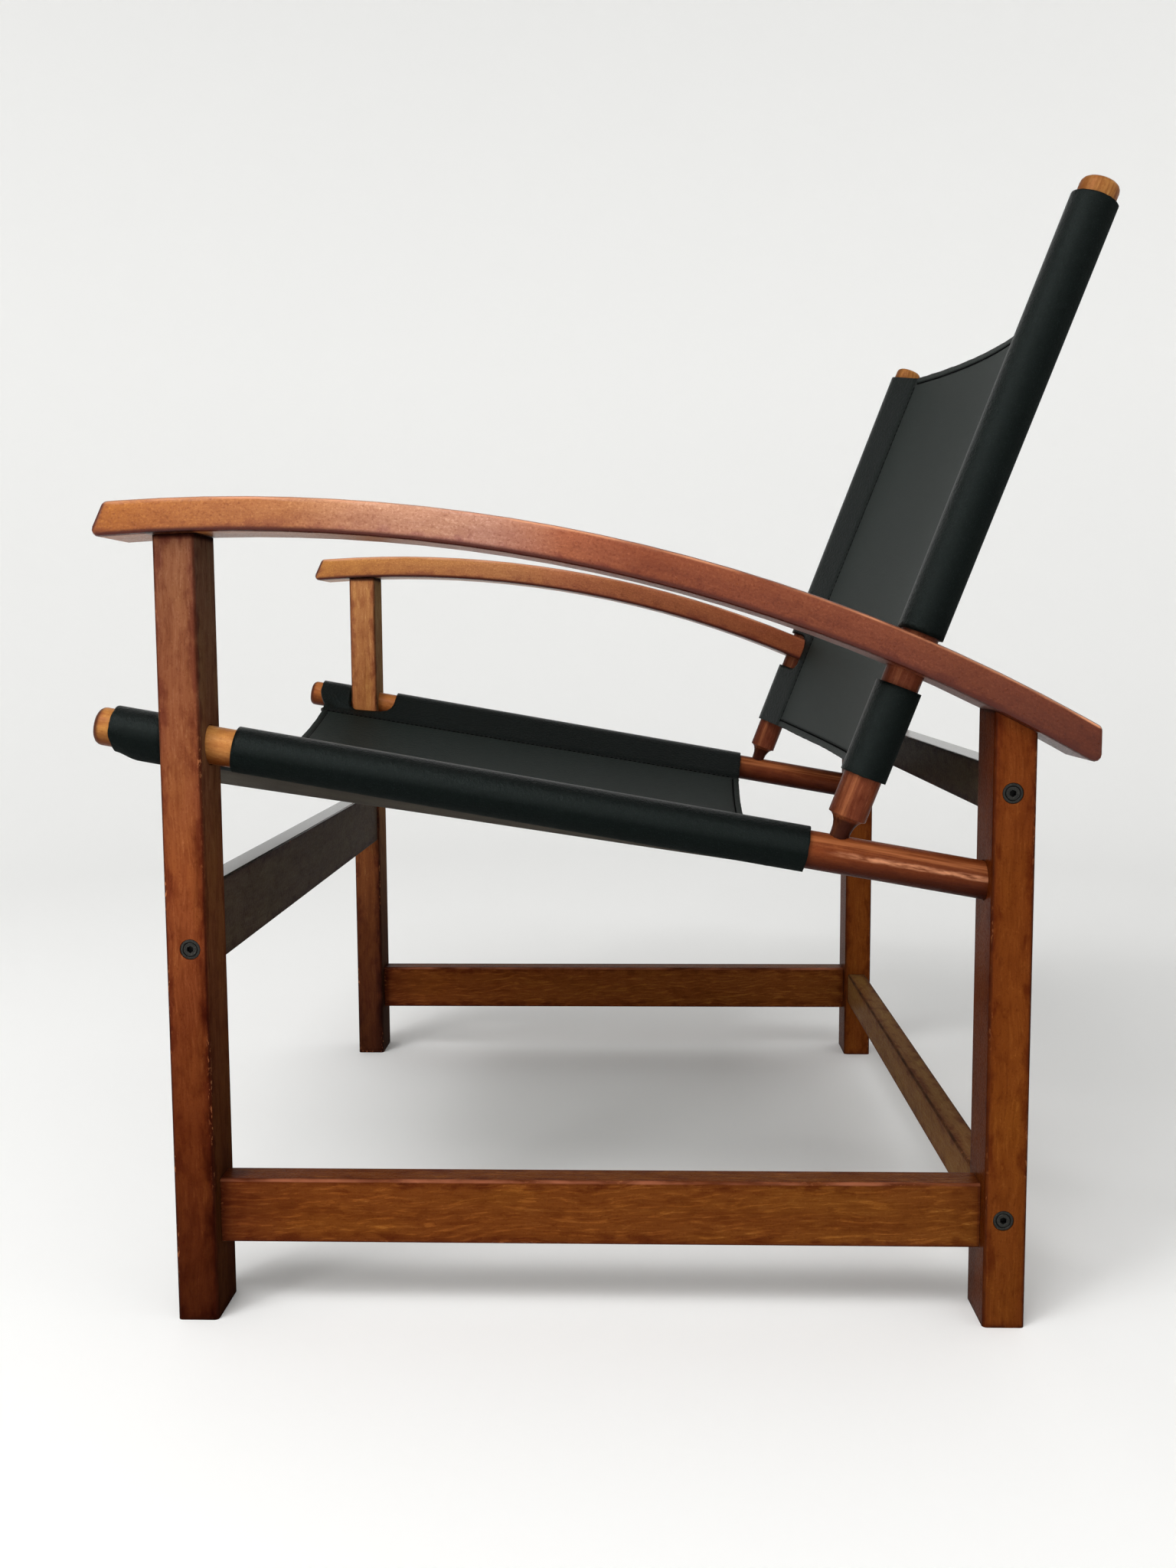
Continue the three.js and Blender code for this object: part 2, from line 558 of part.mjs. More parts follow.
// A sling's cross-section in (x, z), with the rods' centres at z = 0: a sheet that sags to a curve,
// turned round each rod and sewn down, so that each sleeve is drop-shaped.
function slingSection(sag, fullness) {
  const seam = ROD_X - SEAM_REACH;
  const sheetPoint = (x, offset) => {
    const reach = Math.abs(x) / ROD_X;
    const slope = (Math.sign(x) * sag * fullness * reach ** (fullness - 1)) / ROD_X;
    const normal = new THREE.Vector2(-slope, 1).normalize();
    return new THREE.Vector2(x, -sag * (1 - reach ** fullness)).addScaledVector(normal, offset);
  };
  const sheet = Array.from({ length: SHEET_STEPS + 1 }, (_, step) => -seam + (2 * seam * step) / SHEET_STEPS);

  const outerRadius = ROD_RADIUS + SLEEVE_SLACK + LEATHER;
  const upper = tangentAngles(sheetPoint(seam, LEATHER), outerRadius).upper;
  const lower = tangentAngles(sheetPoint(seam, -LEATHER), outerRadius).lower;
  const sleeve = roundRod(outerRadius, lower - 2 * Math.PI, upper);
  const flapEnd = seam - HEM_FLAP;
  const underSeam = [sheetPoint(flapEnd, 0), sheetPoint(flapEnd, -LEATHER), sheetPoint(seam, -LEATHER)];
  const underSheet = sheet.filter((x) => Math.abs(x) < flapEnd).map((x) => sheetPoint(x, 0));
  const rightHalf = [...underSeam, ...sleeve];
  const contour = [
    ...mirrored(rightHalf), ...underSheet, ...rightHalf,
    ...sheet.reverse().map((x) => sheetPoint(x, LEATHER)),
  ];

  const centre = new THREE.Vector2(ROD_X, 0);
  const innerRadius = ROD_RADIUS + SLEEVE_SLACK;
  const seamLine = sheetPoint(seam, 0);
  const apex = seamLine.clone().add(centre.clone().sub(seamLine).setLength(STITCH_MARGIN));
  const touch = tangentAngles(apex, innerRadius);
  const hollow = [...roundRod(innerRadius, touch.upper, touch.lower - 2 * Math.PI), apex];
  return { contour, holes: [hollow, mirrored(hollow)] };
}

// A solid through cross-sections in (x, z) that follow each other towards -Y.
function loft(sections) {
  const positions = [];
  const triangles = [];
  const loops = (section) => [section.contour, ...section.holes];
  const ringSize = loops(sections[0]).reduce((sum, loop) => sum + loop.length, 0);
  for (const section of sections) {
    for (const point of loops(section).flat()) positions.push(point.x, section.y, point.y);
  }
  for (let ring = 0; ring + 1 < sections.length; ring++) {
    let first = ring * ringSize;
    for (const loop of loops(sections[ring])) {
      for (let i = 0; i < loop.length; i++) {
        const here = first + i;
        const next = first + ((i + 1) % loop.length);
        triangles.push(here, next, next + ringSize, here, next + ringSize, here + ringSize);
      }
      first += loop.length;
    }
  }
  const last = (sections.length - 1) * ringSize;
  const cap = (section) => THREE.ShapeUtils.triangulateShape(section.contour, section.holes);
  for (const [a, b, c] of cap(sections[0])) triangles.push(c, b, a);
  for (const [a, b, c] of cap(sections.at(-1))) triangles.push(a + last, b + last, c + last);
  const geometry = new THREE.BufferGeometry();
  geometry.setAttribute("position", new THREE.Float32BufferAttribute(positions, 3));
  geometry.setIndex(triangles);
  return geometry;
}

// A pair of round-cornered notches through the sleeves, between two places along the rods.
function notches(low, high) {
  const inner = ARM_INNER - NOTCH_MARGIN;
  const width = 2 * (ROD_X + ROD_DIAMETER - inner);
  const section = roundedRectangle(width, high - low, NOTCH_ROUND);
  const notch = bar(section, "z", -2 * SEAM_REACH, 2 * SEAM_REACH);
  notch.translate(inner + width / 2, (low + high) / 2, 0);
  return [notch, notch.clone().translate(-2 * inner - width, 0, 0)];
}

// What is cut off the seat's front edge, with a soft step up to each sleeve.
function frontScoop(front) {
  const step = Array.from({ length: SCOOP_STEPS + 1 }, (_, count) => {
    const share = count / SCOOP_STEPS;
    const depth = (SCOOP_DEPTH * (1 + Math.cos(Math.PI * share))) / 2;
    return new THREE.Vector2(SCOOP_INNER + (SCOOP_OUTER - SCOOP_INNER) * share, front + depth);
  });
  const past = [new THREE.Vector2(SCOOP_OUTER, front - CUT_PAST)];
  const outline = new THREE.Shape([...mirrored(past), ...mirrored(step), ...step, ...past]);
  return bar(outline, "z", -2 * SEAM_REACH, 2 * SEAM_REACH);
}

// A sling between two places along its rods, with a sag that changes evenly from end to end.
function sling([low, high], [sagLow, sagHigh], fullness, cuts) {
  const sections = Array.from({ length: SLING_RINGS }, (_, ring) => {
    const share = 1 - ring / (SLING_RINGS - 1);
    const section = slingSection(sagLow + (sagHigh - sagLow) * share, fullness);
    return { ...section, y: low + (high - low) * share };
  });
  return cut(loft(sections), cuts);
}

function seatSling() {
  const front = SEAT_SLING_INSET - SEAT_ROD_OVERHANG;
  const sleeveRadius = ROD_RADIUS + SLEEVE_SLACK + LEATHER;
  const notchFront = -sleeveRadius * Math.tan(SEAT_PITCH) - LEG_NOTCH_AHEAD;
  const notchRear = LEG_DEPTH / Math.cos(SEAT_PITCH) + LEG_NOTCH_BEHIND;
  const rear = front + SEAT_SLING_LENGTH;
  const sags = [SEAT_SAG_FRONT, SEAT_SAG_REAR];
  const cuts = [...notches(notchFront, notchRear), frontScoop(front)];
  return sling([front, rear], sags, SEAT_FULLNESS, cuts);
}

function backSling() {
  const notchLow = backRodCrossing(UNDERSIDE_RADIUS) - ARM_NOTCH_BELOW;
  const notchHigh = backRodCrossing(ARM_RADIUS) + ARM_NOTCH_ABOVE;
  const top = BACK_ROD_HEIGHT - BACK_SLING_INSET;
  const sags = [BACK_SAG_BOTTOM, BACK_SAG_TOP];
  return sling([BACK_SLING_BOTTOM, top], sags, BACK_FULLNESS, notches(notchLow, notchHigh));
}

const chair = new THREE.Group();

function add(parent, name, geometry, material, place = new THREE.Matrix4()) {
  const mesh = new THREE.Mesh(geometry, material);
  mesh.name = name;
  mesh.applyMatrix4(place);
  parent.add(mesh);
}

for (const rail of RAILS) add(chair, rail.name, crossRail(rail), DARK_WOOD);
add(chair, "seat_sling", seatSling(), BLACK_LEATHER, seatPlane);
add(chair, "back_sling", backSling(), BLACK_LEATHER, backPlane);

// The right-hand side is the left-hand side mirrored.
for (const [side, mirror] of [["left", 1], ["right", -1]]) {
  const half = new THREE.Group();
  half.scale.x = mirror;
  chair.add(half);
  add(half, `front_leg_${side}`, frontLeg(), WOOD);
  add(half, `rear_leg_${side}`, rearLeg(), WOOD);
  add(half, `armrest_${side}`, armrest(), WOOD);
  add(half, `side_stretcher_${side}`, sideStretcher(), WOOD);
  add(half, `seat_rod_${side}`, seatRod(), WOOD, seatPlane);
  add(half, `back_rod_${side}`, backRod(), WOOD, backPlane);
  for (const rail of RAILS) {
    add(half, `${rail.joint}_bolt_${side}`, bolt(rail), GUNMETAL);
    add(half, `${rail.joint}_barrel_nut_${side}`, barrelNut(rail), GUNMETAL);
    add(half, `${rail.joint}_rail_dowel_${side}`, railDowel(rail), PALE_WOOD);
  }
  for (const joint of STRETCHER_JOINTS) {
    const name = `stretcher_${joint.end}_${joint.level}_dowel_${side}`;
    add(half, name, stretcherDowel(joint, dowel), PALE_WOOD);
  }
  for (const joint of ARM_JOINTS) {
    add(half, `armrest_${joint.end}_dowel_${side}`, armDowel(joint, dowel), PALE_WOOD);
  }
}

// Centre the chair on its overall depth.
const extent = new THREE.Box3().setFromObject(chair, true);
chair.position.y = -(extent.min.y + extent.max.y) / 2;

export default chair;
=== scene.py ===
"""Leather sling lounge chair: finishes, leather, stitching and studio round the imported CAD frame."""

import math

import bmesh
import bpy
from mathutils import Matrix, Vector, noise


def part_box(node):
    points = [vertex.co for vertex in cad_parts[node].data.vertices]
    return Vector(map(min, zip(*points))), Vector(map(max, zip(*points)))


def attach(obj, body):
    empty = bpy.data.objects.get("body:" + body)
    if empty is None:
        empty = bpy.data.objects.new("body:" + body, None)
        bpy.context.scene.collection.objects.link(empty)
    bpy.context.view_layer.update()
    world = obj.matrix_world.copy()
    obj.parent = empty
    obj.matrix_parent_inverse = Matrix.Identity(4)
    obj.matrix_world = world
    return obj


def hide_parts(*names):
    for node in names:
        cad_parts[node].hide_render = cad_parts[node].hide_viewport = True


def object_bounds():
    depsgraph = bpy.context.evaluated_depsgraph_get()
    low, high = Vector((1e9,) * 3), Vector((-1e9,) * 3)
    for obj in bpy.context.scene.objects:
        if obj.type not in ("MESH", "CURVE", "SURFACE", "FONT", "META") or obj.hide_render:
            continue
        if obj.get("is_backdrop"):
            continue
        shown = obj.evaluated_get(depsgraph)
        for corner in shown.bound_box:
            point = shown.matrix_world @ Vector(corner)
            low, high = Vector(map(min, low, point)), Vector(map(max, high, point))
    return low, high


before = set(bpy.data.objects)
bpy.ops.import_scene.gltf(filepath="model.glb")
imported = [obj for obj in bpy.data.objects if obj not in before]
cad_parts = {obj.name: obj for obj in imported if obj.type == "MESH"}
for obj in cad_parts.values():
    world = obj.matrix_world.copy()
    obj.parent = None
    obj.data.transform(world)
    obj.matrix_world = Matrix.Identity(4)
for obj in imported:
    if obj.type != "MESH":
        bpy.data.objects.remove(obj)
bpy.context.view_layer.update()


# Studio: a pale floor that turns up into a round backdrop, under a long soft lamp, a weaker
# upright one and an even sky. The camera stands at the chair's left side, as high as the seat.
FLOOR_RADIUS, FLOOR_SIDES = 3.0, 96
FLOOR_TONE, FLOOR_ROUGHNESS, FLOOR_GLOSS = (251, 251, 250), 0.9, 0.1
BACKDROP_HEIGHT, BACKDROP_ROUND, BACKDROP_STEPS = 3.4, 1.2, 16
SKY_STRENGTH = 0.31
LAMPS = {
    "key_lamp": {"place": Vector((2.0, -1.0, 2.9)), "size": (2.6, 0.9), "watts": 66},
    "fill_lamp": {"place": Vector((2.2, -1.7, 1.1)), "size": (0.5, 1.6), "watts": 16},
}
LAMP_AIM = Vector((0, 0, 0.35))
FRONT_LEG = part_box("front_leg_left")
FRONT_FACE = FRONT_LEG[0].y
CAMERA_PLACE = Vector((1.23926, FRONT_FACE + 0.30393, 0.44386))
CAMERA_YAW, CAMERA_PITCH, CAMERA_ROLL = math.radians(1.942), math.radians(-5.584), math.radians(-0.337)
CAMERA_LENS = 33.066
LOOKING_ALONG_MINUS_X = Matrix(((0, 0, 1), (1, 0, 0), (0, 1, 0)))
SOCKETS = {
    "colour": "Base Color", "roughness": "Roughness", "metallic": "Metallic",
    "gloss": "Specular IOR Level", "sheen": "Specular Tint",
}


def tone(red, green, blue):
    """A screen colour, 0 to 255, as the linear colour that shaders take."""
    steps = (value / 255 for value in (red, green, blue))
    linear = (s / 12.92 if s <= 0.04045 else ((s + 0.055) / 1.055) ** 2.4 for s in steps)
    return (*linear, 1)


def add_node(tree, kind, inputs=None, **settings):
    """A shader node with its settings made and its sockets linked or set."""
    node = tree.nodes.new(kind)
    for setting, value in settings.items():
        setattr(node, setting, value)
    for socket, value in (inputs or {}).items():
        if isinstance(value, bpy.types.NodeSocket):
            tree.links.new(value, node.inputs[socket])
        else:
            node.inputs[socket].default_value = value
    return node


def new_material(name, **plain):
    """A material with its node tree and its Principled shader, on which plain values are set."""
    material = bpy.data.materials.new(name)
    material.use_nodes = True
    shader = material.node_tree.nodes["Principled BSDF"]
    for socket, value in plain.items():
        shader.inputs[SOCKETS[socket]].default_value = value
    return material, material.node_tree, shader


def new_piece(name, bm, *materials):
    """An object at the origin with the bmesh's shape, smoothly shaded."""
    mesh = bpy.data.meshes.new(name)
    for face in bm.faces:
        face.smooth = True
    bm.to_mesh(mesh)
    bm.free()
    for material in materials:
        mesh.materials.append(material)
    piece = bpy.data.objects.new(name, mesh)
    bpy.context.scene.collection.objects.link(piece)
    return piece


def new_verts(made):
    """The vertices among what an operator has made."""
    return [item for item in made["geom"] if isinstance(item, bmesh.types.BMVert)]


paper = new_material(
    "backdrop_paper", colour=tone(*FLOOR_TONE), roughness=FLOOR_ROUGHNESS, gloss=FLOOR_GLOSS
)[0]
bm = bmesh.new()
bmesh.ops.create_circle(bm, cap_ends=True, segments=FLOOR_SIDES, radius=FLOOR_RADIUS)
rim = [edge for edge in bm.edges if edge.is_boundary]
wall = bmesh.ops.extrude_edge_only(bm, edges=rim)
bmesh.ops.translate(bm, verts=new_verts(wall), vec=(0, 0, BACKDROP_HEIGHT))
bmesh.ops.bevel(
    bm, geom=rim, affect="EDGES", offset=BACKDROP_ROUND, segments=BACKDROP_STEPS, profile=0.5, material=-1
)
bmesh.ops.reverse_faces(bm, faces=bm.faces)
backdrop = new_piece("backdrop", bm, paper)
backdrop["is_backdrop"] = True

world = bpy.data.worlds.new("sky")
bpy.context.scene.world = world
world.use_nodes = True
world.node_tree.nodes["Background"].inputs["Color"].default_value = (1, 1, 1, 1)
world.node_tree.nodes["Background"].inputs["Strength"].default_value = SKY_STRENGTH

for name, lamp in LAMPS.items():
    light = bpy.data.objects.new(name, bpy.data.lights.new(name, "AREA"))
    light.data.shape = "RECTANGLE"
    light.data.size, light.data.size_y = lamp["size"]
    light.data.energy = lamp["watts"]
    light.location = lamp["place"]
    light.rotation_mode = "QUATERNION"
    light.rotation_quaternion = (LAMP_AIM - lamp["place"]).to_track_quat("-Z", "Y")
    bpy.context.scene.collection.objects.link(light)

camera = bpy.data.objects.new("camera", bpy.data.cameras.new("camera"))
camera.data.lens = CAMERA_LENS
turn = (
    Matrix.Rotation(CAMERA_YAW, 3, "Z")
    @ Matrix.Rotation(CAMERA_PITCH, 3, "Y")
    @ Matrix.Rotation(CAMERA_ROLL, 3, "X")
)
camera.matrix_world = Matrix.Translation(CAMERA_PLACE) @ (turn @ LOOKING_ALONG_MINUS_X).to_4x4()
bpy.context.scene.collection.objects.link(camera)
bpy.context.scene.camera = camera
bpy.context.scene.view_settings.view_transform = "Standard"


# Legs: square beech posts, stained red-brown under a thin satin lacquer, with eased edges that
# use has darkened and chipped. Each front leg is bored for its seat rod.
SIDES = ("left", "right")
# The front legs darken towards the foot: a darker stain there, with painted shade near the floor.
FRONT_LEG_TONES_AND_SHADE = {
    "left": ((0.0, (58, 23, 8)), (0.13, (90, 41, 17)), (0.30, (124, 64, 34)), (0.50, (127, 82, 57))),
    "right": ((0.0, (56, 25, 10)), (0.13, (80, 39, 17)), (0.30, (138, 82, 42)), (0.50, (174, 118, 72))),
}
FRONT_LEG_GLOSS, FRONT_LEG_FIGURE = {"left": 0.008, "right": 0.04}, 1.1
REAR_LEG_TONES = ((0.0, (98, 50, 17)), (0.20, (106, 54, 18)), (0.38, (104, 51, 20)))
REAR_LEG_GLOSS, REAR_LEG_CHIPS = 0.008, 0.35
LEG_EDGE, CHIP_TONE = (38, 16, 9), (172, 106, 66)
# The side tints are painted shade on the faces that look along the chair; the rear legs' tint also reddens
# their stain.
FRONT_SIDE_SHADE, REAR_SIDE_SHADE = (0.60, 0.80, 0.95, 1), (0.54, 0.44, 0.34, 1)
SIDE_DEPTHS, DULL_ROUGHNESS = (0.0008, 0.0002), 0.95
# Painted shade, with dirt, where an armrest meets a front leg.
JOINT_SHADE_AND_DIRT_TINT, JOINT_SHADE_DEPTH = (0.22, 0.16, 0.16, 1), 0.0045
GRIP_TINT, GRIP_WIDTH, GRIP_TOP, GRIP_FADE = (0.46, 0.36, 0.36, 1), 0.010, 0.35, 0.06
GRIP_DEPTHS, GRIP_PATCHES = (0.0004, 0.0010, GRIP_WIDTH / 4, GRIP_WIDTH), (110, 36, 0.30, 0.62, 5)
UPRIGHT_GRAIN = (0, 0, 0)
NO_EDGE = 1.0
WOOD_RELIEF, WOOD_RELIEF_DEPTH = 0.25, 0.0003
WELD_REACH, EDGE_EASE, EASE_STEPS, EASE_ANGLE, FACE_WEIGHT = 1e-5, 0.0004, 2, math.radians(32), 80

# The stain's patches: how many to the metre across and along the grain, the levels of noise that
# they rise between, and their detail. Figure adds how strongly each tints the wood, and its tint.
AMBER, GOLD = (1.10, 1.20, 1.05, 1), (1.35, 1.60, 1.75, 1)
RED, DEEP = (0.62, 0.46, 0.60, 1), (0.60, 0.44, 0.42, 1)
WAVES, WAVE_DETAIL, WAVE_REACH = 14, 2, (0.012, 0.012, 0.004)
MOTTLE, SPECKS, DOTS = (130, 64, 0.44, 0.68, 5), (820, 560, 0.60, 0.70, 1), (760, 420, 0.60, 0.70, 1)
FIGURE = (
    ((46, 12, 0.42, 0.68, 3), 0.80, AMBER),
    ((110, 6, 0.38, 0.68, 3), 0.30, DEEP),
    (MOTTLE, 0.40, DEEP),
    ((620, 36, 0.44, 0.66, 2), 0.30, DEEP),
    ((520, 64, 0.56, 0.70, 2), 0.45, GOLD),
)
FLECK_AMOUNT = 0.35
RED_REACH, RED_AMOUNT, RED_WANDER, RED_MIDDLE = 0.0085, 0.8, 0.004, 0.4
RIM_DEPTHS, RIM_PATCHES, RIM_GAIN, RIM_LEAST = (0.0024, 0.0008), (160, 40, 0.30, 0.60, 3), 0.45, 0.28
CHIPS, CHIPPED, CHIP_DEPTHS = (620, 240, 0.56, 0.64, 3), (24, 16, 0.46, 0.62, 2), (0.0030, 0.0014)
PEEL, PEEL_ROUGHNESS, SATIN_ROUGHNESS, SPECK_PIT = (560, 560, 0.25, 0.75, 2), 0.14, 0.27, 0.5


def sums(tree, operation, *values):
    """A Math node's result."""
    return add_node(tree, "ShaderNodeMath", dict(enumerate(values)), operation=operation).outputs["Value"]


def times(tree, first, *others):
    """The product of masks and numbers."""
    for other in others:
        first = sums(tree, "MULTIPLY", first, other)
    return first


def vectors(tree, operation, first, second):
    """A Vector Math node's result."""
    sockets = {0: first, 1: second}
    return add_node(tree, "ShaderNodeVectorMath", sockets, operation=operation).outputs["Vector"]


def split(tree, spot):
    """The three parts of a place."""
    return add_node(tree, "ShaderNodeSeparateXYZ", {"Vector": spot}).outputs


def own_place(tree):
    """A point's place in the chair's frame."""
    return add_node(tree, "ShaderNodeTexCoord").outputs["Object"]


def ranged(tree, value, low=0.0, high=1.0, start=0.0, end=1.0, kind="LINEAR"):
    """A number that goes from start to end as a value goes from low to high."""
    limits = {"Value": value, "From Min": low, "From Max": high, "To Min": start, "To Max": end}
    return add_node(tree, "ShaderNodeMapRange", limits, interpolation_type=kind).outputs["Result"]


def ramped(tree, value, low, high):
    """0 to 1 as a value goes from low to high, with soft ends."""
    return ranged(tree, value, low, high, kind="SMOOTHSTEP")


def band(tree, value, low, low_full, high_full, high):
    """A mask that is full between two inner limits and gone beyond two outer ones."""
    return times(tree, ramped(tree, value, low, low_full), ramped(tree, value, high, high_full))


def patches(tree, place, across, along, low, high, detail):
    """A mask of soft patches, about so many to the metre across the grain and along it."""
    spread = vectors(tree, "MULTIPLY", place, (across, across, along))
    clouds = add_node(tree, "ShaderNodeTexNoise", {"Vector": spread, "Scale": 1, "Detail": detail})
    return ramped(tree, clouds.outputs["Fac"], low, high)


def mixed(tree, share, first, second, blend="MIX"):
    """A colour between two others."""
    sockets = {0: share, 6: first, 7: second}
    return add_node(tree, "ShaderNodeMix", sockets, data_type="RGBA", blend_type=blend).outputs[2]


def tinted(tree, colour, mask, amount, tint):
    """A colour multiplied by a tint where the mask is, so much of it."""
    return mixed(tree, times(tree, mask, amount), colour, tint, "MULTIPLY")


def wavering(tree, place, waves, reach):
    """A place moved to and fro, so that what is drawn there wanders."""
    sway = add_node(tree, "ShaderNodeTexNoise", {"Vector": place, "Scale": waves, "Detail": WAVE_DETAIL})
    return vectors(tree, "ADD", place, vectors(tree, "MULTIPLY", sway.outputs["Color"], reach))


def emboss(tree, shader, height, strength, depth):
    """Fine relief on a material."""
    sockets = {"Height": height, "Strength": strength, "Distance": depth}
    relief = add_node(tree, "ShaderNodeBump", sockets)
    tree.links.new(relief.outputs["Normal"], shader.inputs["Normal"])


def new_group(name, inputs, outputs):
    """A shader node group with named sockets, and its inner ends."""
    group = bpy.data.node_groups.new(name, "ShaderNodeTree")
    for socket, kind in inputs.items():
        group.interface.new_socket(socket, in_out="INPUT", socket_type=kind)
    for socket, kind in outputs.items():
        group.interface.new_socket(socket, in_out="OUTPUT", socket_type=kind)
    return group, group.nodes.new("NodeGroupInput").outputs, group.nodes.new("NodeGroupOutput").inputs


# The grain group takes a place with Z along the grain, the tone there and the distance to the
# nearest edge. The stain is amber in the middle of a face, redder and darker at the edges.
beech, given, result = new_group(
    "stained_beech",
    {
        "Vector": "NodeSocketVector", "Tone": "NodeSocketColor",
        "Edge": "NodeSocketFloat", "Edge Tone": "NodeSocketColor",
        "Figure": "NodeSocketFloat", "Chips": "NodeSocketFloat",
    },
    {"Color": "NodeSocketColor", "Roughness": "NodeSocketFloat", "Height": "NodeSocketFloat"},
)
wavy = wavering(beech, given["Vector"], WAVES, WAVE_REACH)
stain = given["Tone"]
for layer, amount, tint in FIGURE:
    figured = times(beech, patches(beech, wavy, *layer), given["Figure"])
    stain = tinted(beech, stain, figured, amount, tint)
lack = sums(beech, "SUBTRACT", RED_MIDDLE, patches(beech, wavy, *MOTTLE))
uneven = sums(beech, "MULTIPLY_ADD", lack, RED_WANDER, given["Edge"])
stain = tinted(beech, stain, ramped(beech, uneven, RED_REACH, 0.0), RED_AMOUNT, RED)
specks = patches(beech, wavy, *SPECKS)
stain = tinted(beech, stain, specks, FLECK_AMOUNT, DEEP)
stain = tinted(beech, stain, patches(beech, given["Vector"], *DOTS), FLECK_AMOUNT, GOLD)
pooled = sums(beech, "MULTIPLY_ADD", patches(beech, given["Vector"], *RIM_PATCHES), RIM_GAIN, RIM_LEAST)
outline = times(beech, ramped(beech, given["Edge"], *RIM_DEPTHS), pooled)
stain = mixed(beech, outline, stain, given["Edge Tone"])
chips = times(
    beech, patches(beech, wavy, *CHIPS), patches(beech, given["Vector"], *CHIPPED),
    ramped(beech, given["Edge"], *CHIP_DEPTHS), given["Chips"],
)
stain = mixed(beech, chips, stain, tone(*CHIP_TONE))
beech.links.new(stain, result["Color"])
peel = patches(beech, given["Vector"], *PEEL)
beech.links.new(sums(beech, "MULTIPLY_ADD", peel, PEEL_ROUGHNESS, SATIN_ROUGHNESS), result["Roughness"])
beech.links.new(sums(beech, "SUBTRACT", peel, times(beech, specks, SPECK_PIT)), result["Height"])


def tone_along(tree, place, tones, axis):
    """The stain's tone, from places on an axis with the colour that the wood has there."""
    start, end = tones[0][0], tones[-1][0]
    ramp = add_node(tree, "ShaderNodeValToRGB", {"Fac": ranged(tree, split(tree, place)[axis], start, end)})
    stops = ramp.color_ramp.elements
    stops[0].color, stops[1].color = tone(*tones[0][1]), tone(*tones[-1][1])
    for spot, colour in tones[1:-1]:
        stops.new((spot - start) / (end - start)).color = tone(*colour)
    return ramp.outputs["Color"]


def stained_wood(
    name, tones, grain, edges, edge_tone, axis="Z", gloss=0.03, figure=1.0, chips=0.75, wear_and_painted_light=(), dull=None
):
    """Stained beech: grain turns the piece's length to Z, and edges measures to its nearest edge.
    The tones are one colour, or places on an axis with the colour that the wood has there.
    Wear and painted light lists masks (wear and stain, and painted shade and highlights), each with the
    colour that it lays on the stain and how it is laid.
    Dull is a mask of the faces whose lacquer has lost its shine."""
    material, tree, shader = new_material(name, gloss=gloss)
    place = own_place(tree)
    sockets = {
        "Vector": grain(tree, place),
        "Tone": tone(*tones[0]) if len(tones) == 1 else tone_along(tree, place, tones, axis),
        "Edge": edges(tree, place) if edges else NO_EDGE,
        "Edge Tone": tone(*edge_tone), "Figure": figure, "Chips": chips,
    }
    wood = add_node(tree, "ShaderNodeGroup", sockets, node_tree=beech)
    stain = wood.outputs["Color"]
    for mask, colour, blend in wear_and_painted_light:
        stain = mixed(tree, mask(tree, place), stain, colour, blend)
    tree.links.new(stain, shader.inputs["Base Color"])
    satin = wood.outputs["Roughness"]
    if dull:
        satin = ranged(tree, dull(tree, place), start=satin, end=DULL_ROUGHNESS)
    tree.links.new(satin, shader.inputs["Roughness"])
    emboss(tree, shader, wood.outputs["Height"], WOOD_RELIEF, WOOD_RELIEF_DEPTH)
    return material


def nearest_edge(tree, first, second, third):
    """How far a point on a face is from the nearest edge: the middle one of its three depths."""
    outer = sums(tree, "MINIMUM", sums(tree, "MAXIMUM", first, second), third)
    return sums(tree, "MAXIMUM", sums(tree, "MINIMUM", first, second), outer)


def depth_within(tree, value, low, high):
    """How deep a place is between two faces."""
    centred = sums(tree, "ABSOLUTE", sums(tree, "SUBTRACT", value, (low + high) / 2))
    return sums(tree, "SUBTRACT", (high - low) / 2, centred)


def bar_edges(name):
    """Measures to the nearest edge of a straight bar.
    The right-hand side is like the left, so X counts from the chair's middle."""
    low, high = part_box(name)
    crosswise = low.x < 0 < high.x

    def edge(tree, spot):
        parts = split(tree, spot)
        outward = parts["X"] if crosswise else sums(tree, "ABSOLUTE", parts["X"])
        places = zip((outward, parts["Y"], parts["Z"]), low, high)
        return nearest_edge(tree, *(depth_within(tree, *place) for place in places))

    return edge


def turned_grain(turn):
    """Grain along the piece, by turning its length to Z."""
    return lambda tree, spot: add_node(
        tree, "ShaderNodeMapping", {"Vector": spot, "Rotation": turn}
    ).outputs["Vector"]


def shaded_leg_sides(name):
    """The faces of a leg that look along the chair, which the side tints darken as painted shade."""
    low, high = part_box(name)
    return lambda tree, spot: ramped(
        tree, depth_within(tree, split(tree, spot)["Y"], low.y, high.y), *SIDE_DEPTHS
    )


def gripped_edge(tree, spot):
    """The rear part of a front leg's outer face below the seat, dark where hands have gripped it."""
    parts = split(tree, spot)
    strip = band(tree, sums(tree, "SUBTRACT", FRONT_LEG[1].y, parts["Y"]), *GRIP_DEPTHS)
    below = ramped(tree, parts["Z"], GRIP_TOP, GRIP_TOP - GRIP_FADE)
    return times(tree, strip, below, patches(tree, spot, *GRIP_PATCHES))


def leg_top_shade(tree, spot):
    """The top of a front leg under the armrest, darkened with painted shade and the dirt there."""
    top = FRONT_LEG[1].z
    return ramped(tree, split(tree, spot)["Z"], top - JOINT_SHADE_DEPTH, top - JOINT_SHADE_DEPTH / 3)


